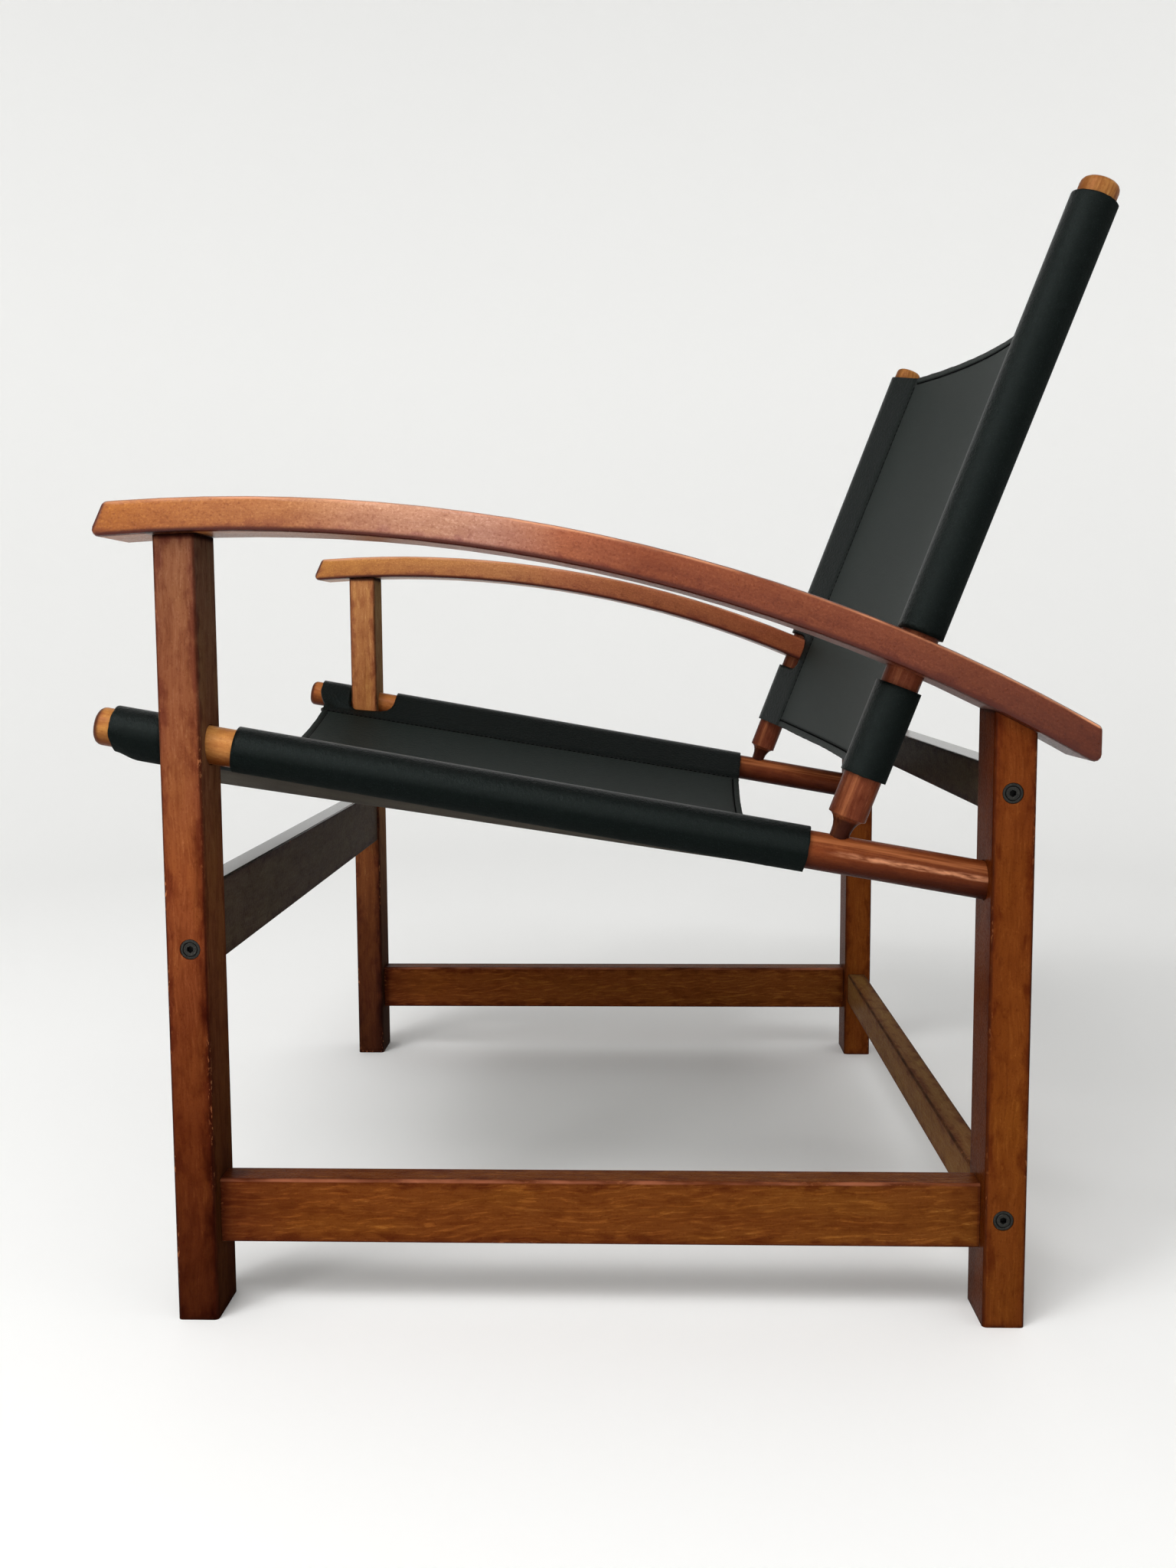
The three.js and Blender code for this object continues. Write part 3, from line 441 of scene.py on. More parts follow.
def dress(name, material):
    """Finish on a CAD node, with its facets shaded as one surface and its sharp edges eased."""
    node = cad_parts[name]
    node.data.materials.clear()
    node.data.materials.append(material)
    weld = node.modifiers.new("weld", "WELD")
    weld.merge_threshold = WELD_REACH
    easing = node.modifiers.new("ease", "BEVEL")
    easing.width = EDGE_EASE
    easing.segments = EASE_STEPS
    easing.limit_method = "ANGLE"
    easing.angle_limit = EASE_ANGLE
    easing.use_clamp_overlap = True
    shading = node.modifiers.new("shading", "WEIGHTED_NORMAL")
    shading.weight = FACE_WEIGHT


upright = turned_grain(UPRIGHT_GRAIN)
rear_leg_wood = stained_wood(
    "rear_leg_wood", REAR_LEG_TONES, upright, bar_edges("rear_leg_left"), LEG_EDGE,
    gloss=REAR_LEG_GLOSS, chips=REAR_LEG_CHIPS,
    wear_and_painted_light=[(shaded_leg_sides("rear_leg_left"), REAR_SIDE_SHADE, "MULTIPLY")],
)
front_shaded_sides = shaded_leg_sides("front_leg_left")
for side in SIDES:
    front_leg_wood = stained_wood(
        f"front_leg_wood_{side}", FRONT_LEG_TONES_AND_SHADE[side], upright, bar_edges("front_leg_left"), LEG_EDGE,
        gloss=FRONT_LEG_GLOSS[side], figure=FRONT_LEG_FIGURE,
        wear_and_painted_light=[
            (front_shaded_sides, FRONT_SIDE_SHADE, "MULTIPLY"), (leg_top_shade, JOINT_SHADE_AND_DIRT_TINT, "MULTIPLY"),
            (gripped_edge, GRIP_TINT, "MULTIPLY"),
        ],
        dull=front_shaded_sides,
    )
    dress(f"front_leg_{side}", front_leg_wood)
    dress(f"rear_leg_{side}", rear_leg_wood)


# Side stretchers: flat beech bars dowelled between the legs of each side, orange-brown with
# wavy figure along the face.
STRETCHER_TONES = ((-0.27, (78, 34, 14)), (-0.20, (101, 52, 19)), (0.24, (99, 54, 20)))
# The light upper edges of the stretchers are a painted highlight.
STRETCHER_EDGE, STRETCHER_HIGHLIGHT, FLAME = (66, 28, 13), (150, 90, 63), (1.55, 1.75, 1.7, 1)
STRETCHER_GLOSS, STRETCHER_CHIPS = 0.012, 0.2
GRAIN_FRONT_TO_BACK, FLAME_GRAIN = (math.radians(90), 0, 0), (math.radians(86), 0, 0)
FLAME_WAVES, FLAME_REACH, FLAME_PATCHES = 18, (0.014, 0.014, 0), (480, 44, 0.50, 0.72, 3)
STRETCHER_HIGHLIGHT_DEPTHS, STRETCHER_HIGHLIGHT_PATCHES = (0.0024, 0.0013), (120, 24, 0.3, 0.75, 4)


def flame_figure(tree, spot):
    """Fine golden streaks that wander along the face."""
    lengthwise = turned_grain(FLAME_GRAIN)(tree, spot)
    return patches(tree, wavering(tree, lengthwise, FLAME_WAVES, FLAME_REACH), *FLAME_PATCHES)


def painted_arris_highlight(tree, spot):
    """The upper edges of a stretcher, lightened in streaks as a painted highlight."""
    low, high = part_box("side_stretcher_left")
    parts = split(tree, spot)
    outward = depth_within(tree, sums(tree, "ABSOLUTE", parts["X"]), low.x, high.x)
    corner = sums(tree, "ADD", outward, sums(tree, "SUBTRACT", high.z, parts["Z"]))
    along = turned_grain(GRAIN_FRONT_TO_BACK)(tree, spot)
    return times(tree, ramped(tree, corner, *STRETCHER_HIGHLIGHT_DEPTHS), patches(tree, along, *STRETCHER_HIGHLIGHT_PATCHES))


stretcher_wood = stained_wood(
    "stretcher_wood", STRETCHER_TONES, turned_grain(GRAIN_FRONT_TO_BACK),
    bar_edges("side_stretcher_left"), STRETCHER_EDGE, axis="Y",
    gloss=STRETCHER_GLOSS, chips=STRETCHER_CHIPS,
    wear_and_painted_light=[(flame_figure, FLAME, "MULTIPLY"), (painted_arris_highlight, tone(*STRETCHER_HIGHLIGHT), "LIGHTEN")],
)
for side in SIDES:
    dress(f"side_stretcher_{side}", stretcher_wood)


# Cross rails: one deep rail between the front legs, and a rail and a stretcher between the rear
# legs, each of darker beech with the lacquer thick on its top, held at its ends by a bolt and a dowel.
# The two rails' dark tones are their stain together with painted shade from under the seat.
RAIL_TONES = {
    "front_rail": (64, 50, 37), "rear_upper_rail": (64, 50, 37), "rear_lower_stretcher": (112, 78, 44),
}
RAIL_EDGE, RAIL_GLOSS, RAIL_CHIPS = (22, 15, 11), 0.002, 0.2
LACQUERED, LACQUER_DEPTHS, LACQUER_ROUGHNESS = ("front_rail", "rear_upper_rail"), (0.0012, 0.0004), 0.2
GRAIN_ACROSS = (0, math.radians(90), 0)

for name, colour in RAIL_TONES.items():
    rail_wood = stained_wood(
        f"{name}_wood", [colour], turned_grain(GRAIN_ACROSS), bar_edges(name), RAIL_EDGE,
        gloss=RAIL_GLOSS, chips=RAIL_CHIPS,
    )
    if name in LACQUERED:
        tree = rail_wood.node_tree
        shader = tree.nodes["Principled BSDF"]
        below_top = sums(tree, "SUBTRACT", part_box(name)[1].z, split(tree, own_place(tree))["Z"])
        tree.links.new(ramped(tree, below_top, *LACQUER_DEPTHS), shader.inputs["Coat Weight"])
        shader.inputs["Coat Roughness"].default_value = LACQUER_ROUGHNESS
    dress(name, rail_wood)


# Armrests: beech bent to a long bow with its grain along the curve, rubbed paler and more orange
# at the front, where a hand lies.
# On the left arm the pinkish middle is a painted reflection of the lacquer's sheen; the right arm's tones
# are its stain.
ARM_TONES_AND_SHEEN = {
    "left": (
        (-0.31, (150, 86, 36)), (-0.20, (157, 99, 60)), (-0.14, (172, 122, 96)), (-0.075, (163, 114, 95)),
        (-0.03, (144, 80, 53)), (0.02, (118, 58, 33)), (0.16, (106, 52, 31)), (0.30, (80, 34, 18)),
    ),
    "right": (
        (-0.31, (166, 105, 47)), (-0.12, (168, 107, 64)), (-0.06, (158, 92, 56)), (0.0, (142, 78, 44)),
        (0.15, (130, 66, 36)), (0.30, (96, 42, 24)),
    ),
}
ARM_GLOSS, ARM_FIGURE, ARM_CHIPS = 0.2, 0.5, 0.1
# On the arms the lighter upper sides and upper edges are painted light, and the dark lower edges are partly
# painted shade.
ARM_EDGE_SHADE_AND_STAIN, ARM_HIGHLIGHT, ARM_TOP_LIGHT = (70, 26, 16), (206, 140, 102), (1.20, 1.25, 1.25, 1)
ARM_GLINT, ARM_PIT = (1.20, 1.30, 1.38, 1), (0.82, 0.74, 0.71, 1)
ARM_SIDES, ARM_FRONT, ARM_SLANT, ARM_REAR = (0.2855, 0.3435), -0.0875, 0.0121, 0.590
BOW_CENTRE_Y, BOW_CENTRE_Z, BOW_RADIUS, BOW_INNER = FRONT_FACE + 0.0476, -0.554, 1.09, 1.0685
SPECKLE = (1, 1, 1.5)
TOP_LIGHT_DEPTHS, RIM_WIDTHS, JOINT_DEPTHS = (0.012, 0.001), (0.0040, 0.0014), (0.0016, 0.0006)
BOW_HIGHLIGHT_DEPTHS, BOW_HIGHLIGHT_PATCHES = (0.0026, 0.0018), (160, 22, 0.30, 0.70, 4)
GLINT_PATCHES, PIT_PATCHES = (640, 520, 0.50, 0.70, 3), (560, 440, 0.46, 0.32, 3)


def bow_grain(tree, spot):
    """Grain along the bow: X across it, its height for Y and the length along it for Z."""
    parts = split(tree, spot)
    back = sums(tree, "SUBTRACT", parts["Y"], BOW_CENTRE_Y)
    rise = sums(tree, "SUBTRACT", parts["Z"], BOW_CENTRE_Z)
    squares = sums(tree, "ADD", times(tree, back, back), times(tree, rise, rise))
    length = times(tree, sums(tree, "ARCTAN2", back, rise), BOW_RADIUS)
    joined = {"X": parts["X"], "Y": sums(tree, "SQRT", squares), "Z": length}
    return add_node(tree, "ShaderNodeCombineXYZ", joined).outputs["Vector"]


def speckled_bow(tree, spot):
    """The bow's grain with short figure, as its bent fibres show."""
    return vectors(tree, "MULTIPLY", bow_grain(tree, spot), SPECKLE)


def bow_parts(tree, spot):
    """A point's depth within the bow's sides, its height above the underside and its place along."""
    parts = split(tree, bow_grain(tree, spot))
    outward = depth_within(tree, sums(tree, "ABSOLUTE", parts["X"]), *ARM_SIDES)
    return outward, sums(tree, "SUBTRACT", parts["Y"], BOW_INNER), parts["Z"]


def bow_edges(tree, spot):
    """Measures to the nearest lower edge or end of the bow. Its upper edges are left out, so the dark edge
    lines, partly painted shade, lie only below and at the ends.
    """
    outward, height, along = bow_parts(tree, spot)
    slanted = times(tree, height, ARM_SLANT / (BOW_RADIUS - BOW_INNER))
    from_front = sums(tree, "SUBTRACT", along, sums(tree, "ADD", slanted, ARM_FRONT))
    from_rear = sums(tree, "SUBTRACT", ARM_REAR, along)
    return nearest_edge(tree, outward, height, sums(tree, "MINIMUM", from_front, from_rear))


def below_bow_top(tree, height):
    """How far a height is below the bow's upper face."""
    return sums(tree, "SUBTRACT", BOW_RADIUS - BOW_INNER, height)


def lit_bow_top(tree, spot):
    """The upper part of the bow's sides, lightened as painted light from above."""
    return ramped(tree, below_bow_top(tree, bow_parts(tree, spot)[1]), *TOP_LIGHT_DEPTHS)


def painted_bow_highlight(tree, spot):
    """The bow's upper edges, lightened in streaks as a painted highlight."""
    outward, height, _ = bow_parts(tree, spot)
    corner = sums(tree, "ADD", outward, below_bow_top(tree, height))
    streaks = patches(tree, bow_grain(tree, spot), *BOW_HIGHLIGHT_PATCHES)
    return times(tree, ramped(tree, corner, *BOW_HIGHLIGHT_DEPTHS), streaks)


def bow_joint_shade(tree, spot):
    """The bow's underside over the front leg, darkened with painted shade and the dirt in the joint."""
    low, high = FRONT_LEG[0].y - JOINT_SHADE_DEPTH, FRONT_LEG[1].y + JOINT_SHADE_DEPTH
    over_leg = ramped(tree, depth_within(tree, split(tree, spot)["Y"], low, high), 0.0, JOINT_SHADE_DEPTH)
    return times(tree, over_leg, ramped(tree, bow_parts(tree, spot)[1], *JOINT_DEPTHS))


def bow_rim_shade_and_stain(tree, spot):
    """The bow's lower edges and ends, darkened with painted shade along the lower edges and with thick
    stain at the ends.
    """
    return ramped(tree, bow_edges(tree, spot), *RIM_WIDTHS)


def on_bow(spots):
    """Small spots on the bow: the pale ones are painted glints, the dark ones pits in the crazed lacquer.
    """
    return lambda tree, spot: patches(tree, bow_grain(tree, spot), *spots)


for side in SIDES:
    arm_wood = stained_wood(
        f"arm_wood_{side}", ARM_TONES_AND_SHEEN[side], speckled_bow, bow_edges, ARM_EDGE_SHADE_AND_STAIN, axis="Y",
        gloss=ARM_GLOSS, figure=ARM_FIGURE, chips=ARM_CHIPS,
        wear_and_painted_light=[
            (lit_bow_top, ARM_TOP_LIGHT, "MULTIPLY"), (on_bow(GLINT_PATCHES), ARM_GLINT, "MULTIPLY"),
            (on_bow(PIT_PATCHES), ARM_PIT, "MULTIPLY"), (bow_rim_shade_and_stain, tone(*ARM_EDGE_SHADE_AND_STAIN), "MIX"),
            (painted_bow_highlight, tone(*ARM_HIGHLIGHT), "LIGHTEN"), (bow_joint_shade, JOINT_SHADE_AND_DIRT_TINT, "MULTIPLY"),
        ],
    )
    dress(f"armrest_{side}", arm_wood)


# Seat rods: turned beech dowels through the front legs and into the rear ones, with eased ends
# that hands have rubbed to the pale wood.
# The right rod's tones are darker than the left's as painted shade.
SEAT_ROD_TONES_AND_SHADE = {
    "left": (
        (-0.33, (184, 124, 64)), (-0.24, (192, 130, 70)), (-0.16, (158, 90, 48)), (0.05, (132, 67, 33)),
        (0.22, (94, 42, 18)),
    ),
    "right": (
        (-0.33, (164, 98, 48)), (-0.24, (156, 94, 46)), (-0.16, (130, 70, 36)), (0.22, (92, 41, 20)),
    ),
}
SEAT_ROD_GLOSS, ROD_CHIPS = 0.06, 0.1
ROD_EDGE, HIGHLIGHT_TONE, UNDER_SHADE_TINT = (70, 34, 18), (168, 102, 62), (0.24, 0.15, 0.11, 1)
STREAK_HIGHLIGHT_TONE, STREAK_HIGHLIGHT_REACH, STREAK_HIGHLIGHT_PATCHES = (194, 132, 96), (0.425, 0.460), (560, 120, 0.24, 0.78, 5)
SEAT_PITCH = math.radians(10.1)
SEAT_ORIGIN = Vector((0, FRONT_FACE, 0.3843))
SEAT_RISE = Vector((0, math.sin(SEAT_PITCH), math.cos(SEAT_PITCH)))
SEAT_RUN = Vector((0, math.cos(SEAT_PITCH), -math.sin(SEAT_PITCH)))
ROD_LOW, ROD_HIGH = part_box("seat_rod_left")
ROD_SPREAD = (ROD_LOW.x + ROD_HIGH.x) / 2
ROD_RADIUS = (ROD_HIGH.x - ROD_LOW.x) / 2
ROD_END, END_RIM = -0.0472, (0.0050, 0.0020)
HIGHLIGHT_BAND, HIGHLIGHT_STREAKS = (0.30, 0.55, 0.70, 0.92), (520, 16, 0.25, 0.85, 3)
STREAK_HIGHLIGHT_BAND, UNDER_SHADE_BAND = (-0.06, 0.10, 0.18, 0.36), (0.35, -0.85)
along_seat = turned_grain((math.radians(90) + SEAT_PITCH, 0, 0))


def reach_along(tree, spot, origin, way):
    """How far a place lies from an origin along a direction."""
    sockets = {0: vectors(tree, "SUBTRACT", spot, origin), 1: way}
    return add_node(tree, "ShaderNodeVectorMath", sockets, operation="DOT_PRODUCT").outputs["Value"]


def rod_share(tree, spot, origin, way):
    """How far a place lies from a rod's axis along a direction, in radii."""
    return sums(tree, "DIVIDE", reach_along(tree, spot, origin, way), ROD_RADIUS)


def seat_rod_end(tree, spot):
    """Measures to a seat rod's front end."""
    return sums(tree, "SUBTRACT", reach_along(tree, spot, SEAT_ORIGIN, SEAT_RUN), ROD_END)


def painted_top_highlight(tree, spot):
    """A streaky band above a seat rod's middle, lightened as a painted highlight."""
    upper = band(tree, rod_share(tree, spot, SEAT_ORIGIN, SEAT_RISE), *HIGHLIGHT_BAND)
    return times(tree, upper, patches(tree, along_seat(tree, spot), *HIGHLIGHT_STREAKS))


def painted_highlight_streak(tree, spot):
    """A ragged light line along a seat rod behind the sling, a painted highlight."""
    line = band(tree, rod_share(tree, spot, SEAT_ORIGIN, SEAT_RISE), *STREAK_HIGHLIGHT_BAND)
    bare = ramped(tree, reach_along(tree, spot, SEAT_ORIGIN, SEAT_RUN), *STREAK_HIGHLIGHT_REACH)
    return times(tree, line, bare, patches(tree, along_seat(tree, spot), *STREAK_HIGHLIGHT_PATCHES))


def painted_underside_shade(tree, spot):
    """A seat rod's underside, darkened as painted shade."""
    return ramped(tree, rod_share(tree, spot, SEAT_ORIGIN, SEAT_RISE), *UNDER_SHADE_BAND)


def dark_rim(tree, spot):
    """The round of a seat rod's front end, stained with the end grain."""
    return ramped(tree, seat_rod_end(tree, spot), *END_RIM)


seat_rod_light_and_stain = {
    "right": [
        (painted_top_highlight, tone(*HIGHLIGHT_TONE), "LIGHTEN"), (painted_underside_shade, UNDER_SHADE_TINT, "MULTIPLY"),
        (dark_rim, tone(*ROD_EDGE), "MIX"),
    ],
}
seat_rod_light_and_stain["left"] = seat_rod_light_and_stain["right"] + [(painted_highlight_streak, tone(*STREAK_HIGHLIGHT_TONE), "LIGHTEN")]
for side in SIDES:
    seat_rod_wood = stained_wood(
        f"seat_rod_wood_{side}", SEAT_ROD_TONES_AND_SHADE[side], along_seat, seat_rod_end, ROD_EDGE, axis="Y",
        gloss=SEAT_ROD_GLOSS, chips=ROD_CHIPS, wear_and_painted_light=seat_rod_light_and_stain[side],
    )
    dress(f"seat_rod_{side}", seat_rod_wood)


# Back rods: turned beech dowels that lift out through the armrests, each with a cove above the
# tenon that stands in the seat rod.
BACK_ROD_TONES = ((0.30, (100, 50, 31)), (0.66, (116, 64, 42)), (0.71, (152, 102, 54)))
BACK_ROD_GLOSS, BACK_ROD_FIGURE = 0.04, 1.4
FLANK_SHADE_TINT, FOOT_SHADE_AND_STAIN_TINT = (0.66, 0.58, 0.54, 1), (0.26, 0.24, 0.26, 1)
FOOT_REACH = (0.0247, 0.0223)
LINE_PLACE, LINE_BAND, LINE_STREAKS = 0.45, (0.25, 0.05), (520, 16, 0.30, 1.0, 3)
FLANK_SHADE_BAND = (0.55, 0.98)
BACK_RECLINE = math.radians(21.1)
BACK_ROD_PLACE = 0.4368
BACK_ORIGIN = SEAT_ORIGIN + BACK_ROD_PLACE * SEAT_RUN
BACK_REAR = Vector((0, math.cos(BACK_RECLINE), -math.sin(BACK_RECLINE)))
BACK_RUN = Vector((0, math.sin(BACK_RECLINE), math.cos(BACK_RECLINE)))
along_back = turned_grain((BACK_RECLINE, 0, 0))


def painted_highlight_line(tree, spot):
    """A light streak along the front of a back rod, a painted highlight."""
    middle = sums(tree, "ADD", rod_share(tree, spot, BACK_ORIGIN, BACK_REAR), LINE_PLACE)
    line = ramped(tree, sums(tree, "ABSOLUTE", middle), *LINE_BAND)
    return times(tree, line, patches(tree, along_back(tree, spot), *LINE_STREAKS))


def painted_flank_shade(tree, spot):
    """The front and rear of a back rod, darkened as painted shade."""
    aside = sums(tree, "ABSOLUTE", rod_share(tree, spot, BACK_ORIGIN, BACK_REAR))
    return ramped(tree, aside, *FLANK_SHADE_BAND)


def foot_shade_and_stain(tree, spot):
    """The cove and tenon below a back rod's shoulder, darkened by pooled stain and by painted shade."""
    return ramped(tree, reach_along(tree, spot, BACK_ORIGIN, BACK_RUN), *FOOT_REACH)


back_rod_wood = stained_wood(
    "back_rod_wood", BACK_ROD_TONES, along_back, None, ROD_EDGE,
    gloss=BACK_ROD_GLOSS, figure=BACK_ROD_FIGURE, chips=ROD_CHIPS,
    wear_and_painted_light=[
        (painted_highlight_line, tone(*HIGHLIGHT_TONE), "LIGHTEN"), (painted_flank_shade, FLANK_SHADE_TINT, "MULTIPLY"),
        (foot_shade_and_stain, FOOT_SHADE_AND_STAIN_TINT, "MULTIPLY"),
    ],
)
for side in SIDES:
    dress(f"back_rod_{side}", back_rod_wood)


# Bolts: gunmetal joint bolts with flat heads let into the legs and hexagonal sockets, screwed
# into barrel nuts across the rails.
# The bolts' sockets, ring grooves and head rims are darkened as painted shade.
GUNMETAL, SCUFFED, RECESS_SHADE = (40, 40, 38), (60, 58, 54), (9, 9, 8)
SCUFFS, METALLIC = (1600, 1600, 0.45, 0.75, 3), 0.9
SMOOTH_ROUGHNESS, SCUFF_ROUGHNESS = 0.34, 0.55
HEAD_RADIUS, HEAD_EASE, HEAD_RIM, HEAD_HEIGHT = 0.0065, 0.0005, 0.0008, 0.0042
EASE_MIDDLE = 0.3 * HEAD_EASE
SHANK_RADIUS = 0.003
SOCKET_FLATS, SOCKET_DEPTH, SOCKET_LIP = 0.004, 0.0025, 0.0001
SOCKET_MOUTH = 1.15 * SOCKET_FLATS / math.sqrt(3)
RING_INNER, RING_OUTER, RING_DEPTH = 0.0042, 0.0050, 0.0002
BOLT_SEGMENTS, BOLT_MERGE, CRISP_ANGLE = 48, 1e-6, math.radians(40)
HEX_TURN = math.radians(60)


def painted(tree, name):
    """A value that the mesh carries."""
    return add_node(tree, "ShaderNodeAttribute", attribute_name=name).outputs["Fac"]


gunmetal, tree, shader = new_material("gunmetal", metallic=METALLIC)
scuffs = patches(tree, own_place(tree), *SCUFFS)
metal = mixed(tree, scuffs, tone(*GUNMETAL), tone(*SCUFFED))
tree.links.new(mixed(tree, painted(tree, "recess_shade"), metal, tone(*RECESS_SHADE)), shader.inputs["Base Color"])
dulled = ranged(tree, scuffs, start=SMOOTH_ROUGHNESS, end=SCUFF_ROUGHNESS)
tree.links.new(dulled, shader.inputs["Roughness"])


def joint_bolt(name, centre, length, outward):
    """A bolt whose head's face is at centre, turned about X and drawn with the face up first."""
    bm = bmesh.new()
    recess_shade = bm.verts.layers.float.new("recess_shade")
    outline = [
        (SOCKET_MOUTH, 0), (RING_INNER, 0), (RING_INNER + RING_DEPTH, -RING_DEPTH),
        (RING_OUTER - RING_DEPTH, -RING_DEPTH), (RING_OUTER, 0), (HEAD_RADIUS - HEAD_EASE, 0),
        (HEAD_RADIUS - EASE_MIDDLE, -EASE_MIDDLE), (HEAD_RADIUS, -HEAD_EASE), (HEAD_RADIUS, -HEAD_RIM),
        (SHANK_RADIUS, -HEAD_HEIGHT), (SHANK_RADIUS, -length), (0, -length),
    ]
    points = [bm.verts.new((radius, 0, height)) for radius, height in outline]
    for point, (radius, height) in zip(points, outline):
        # Points in the ring groove and round the head's rim, and later the socket's floor, carry painted
        # shade.
        point[recess_shade] = float(height == -RING_DEPTH or radius == HEAD_RADIUS)
    edges = [bm.edges.new(pair) for pair in zip(points, points[1:])]
    bmesh.ops.spin(
        bm, geom=points + edges, cent=(0, 0, 0), axis=(0, 0, 1), dvec=(0, 0, 0),
        angle=2 * math.pi, steps=BOLT_SEGMENTS, use_merge=True,
    )
    bmesh.ops.remove_doubles(bm, verts=bm.verts, dist=BOLT_MERGE)
    lip = bmesh.ops.extrude_edge_only(bm, edges=[edge for edge in bm.edges if edge.is_boundary])
    for vert in new_verts(lip):
        turn = math.atan2(vert.co.y, vert.co.x) % HEX_TURN - HEX_TURN / 2
        scale = SOCKET_FLATS / 2 / math.cos(turn) / vert.co.xy.length
        vert.co = (vert.co.x * scale, vert.co.y * scale, -SOCKET_LIP)
    wall = bmesh.ops.extrude_edge_only(bm, edges=[edge for edge in bm.edges if edge.is_boundary])
    floor = new_verts(wall)
    for vert in floor:
        vert[recess_shade] = 1.0
    bmesh.ops.translate(bm, verts=floor, vec=(0, 0, -SOCKET_DEPTH))
    bmesh.ops.contextual_create(bm, geom=[edge for edge in bm.edges if edge.is_boundary])
    bmesh.ops.recalc_face_normals(bm, faces=bm.faces)
    facing = Matrix.Rotation(math.radians(90) * outward, 4, "Y")
    bmesh.ops.transform(bm, matrix=Matrix.Translation(centre) @ facing, verts=bm.verts)
    piece = new_piece(name, bm, gunmetal)
    crisp = piece.modifiers.new("crisp", "EDGE_SPLIT")
    crisp.split_angle = CRISP_ANGLE
    return piece


for side, outward in zip(SIDES, (1, -1)):
    for rail in ("front", "rear_upper", "rear_lower"):
        low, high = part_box(f"{rail}_bolt_{side}")
        centre = (low + high) / 2
        centre.x = high.x if outward > 0 else low.x
        head = joint_bolt(f"{rail}_joint_bolt_{side}", centre, high.x - low.x, outward)
        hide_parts(f"{rail}_bolt_{side}")
        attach(head, "frame")
        dress(f"{rail}_barrel_nut_{side}", gunmetal)


# Dowels: unstained beech pins, two at each end of the side stretchers, one beside each bolt and
# one between each leg and its armrest, glued in and out of sight once the chair is together.
PIN_TONE, PIN_EDGE = (200, 162, 116), (170, 132, 90)
pin_wood = stained_wood("pin_wood", [PIN_TONE], turned_grain(GRAIN_FRONT_TO_BACK), None, PIN_EDGE)
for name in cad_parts:
    if "_dowel_" in name:
        dress(name, pin_wood)


# Seat sling: one piece of thick black leather that hangs between the seat rods. Each side is
# turned round its rod and sewn down, the ends are edge-stitched, and the flesh side is below.
LEATHER, ROD_PLAY = 0.0022, 0.0004
SLEEVE_RADIUS = ROD_RADIUS + ROD_PLAY + LEATHER
SEAM, FLAP, HEM = ROD_SPREAD - 0.037, 0.013, 0.0065
NOTCH_INNER, NOTCH_ROUNDS, NOTCH_EASE = 0.283, (0.006, 0.012), 0.020
GROOVE_DEPTH, GROOVE_WIDTH, GROOVE_SHADE_REACH = 0.0008, 0.0015, (0.0022, 0.0006)
SEAT_SPAN, SEAT_SAGS, SEAT_FULLNESS, SEAT_SEED = (-0.0354, 0.4196), (0.0575, 0.0436), 2.5, 3.7
SEAT_NOTCH = (-0.0031, 0.04473)
SCOOP_DEPTH, SCOOP_INNER, SCOOP_OUTER, SCOOP_EASE = 0.0095, 0.275, 0.299, 0.030
TAB_DROP, TAB_EASE, TAB_CORNER, TAB_REACH, TAB_START = 0.0034, 0.018, 0.003, 0.010, 0.2
SLACK_REACH, SLACK_WAVES, SLACK_HEIGHT = 0.09, (7, 6), 0.0004
RAGGED, RAGGED_PITCHES, RAGGED_REACH, RAGGED_MIDDLE = 0.0005, (0.07, 0.61), 0.006, 0.1
ROW_STEP, FINE_STEP, FINE_REACH = 0.0032, 0.001, 0.010
SHEET_STEP, FLAP_STEP, SEAM_REACH = 0.0075, 0.0022, 0.008
SEAM_STEPS, SIDE_STEPS, WRAP_STEPS = 4, 9, 26
STITCH_PITCH, STITCH_LENGTH, THREAD_RADIUS, CHANNEL = 0.0050, 0.0038, 0.0008, 0.0006
THREAD_SEGMENTS, THREAD_RINGS = 6, 4
SHEET_TONE, SLEEVE_TONE, GROOVE_SHADE_TONE, GLINT_TONE = (17, 24, 21), (2, 6, 5), (3, 4, 4), (19, 25, 24)
LEATHER_GLOSS, LEATHER_SHEEN = 0.14, (0.86, 1.0, 0.96, 1)
SHEET_ROUGHNESS, SLEEVE_ROUGHNESS = 0.56, 0.34
DRY_ROUGHNESS, DRY_FACING, WORN_FACING = 0.95, -0.15, 0.25
PEBBLES, PORES, PORE_HEIGHT, GLINT_POINTS = 480, (1500, 1500, 0.3, 0.75, 2), 0.5, (1100, 1100, 0.54, 0.74, 3)
GRAIN_RELIEF, GRAIN_DEPTH = 0.55, 0.0006
FLESH_LIGHT, FLESH_DARK, FLESH_ROUGHNESS, FLESH_GLOSS = (66, 60, 50), (56, 50, 41), 0.95, 0.15
NAP, NAP_AMOUNT, NAP_RELIEF, NAP_DEPTH = (900, 900, 0.3, 0.7, 3), 0.25, 0.5, 0.0005
CLOUDS = (30, 30, 0.3, 0.7, 3)
CUT_TONE, CUT_ROUGHNESS, FIBRES = (36, 32, 28), 0.85, (1400, 1400, 0.4, 0.65, 2)
THREAD_DARK, THREAD_LIGHT, THREAD_ROUGHNESS, THREAD_GLOSS = (3, 4, 4), (12, 13, 13), 0.8, 0.02
PLIES, PLY_RELIEF, PLY_DEPTH = (2600, 2600, 0.35, 0.65, 1), 0.5, 0.0002


def smooth_step(value):
    """0 to 1 with soft ends."""
    value = min(max(value, 0.0), 1.0)
    return value * value * (3 - 2 * value)


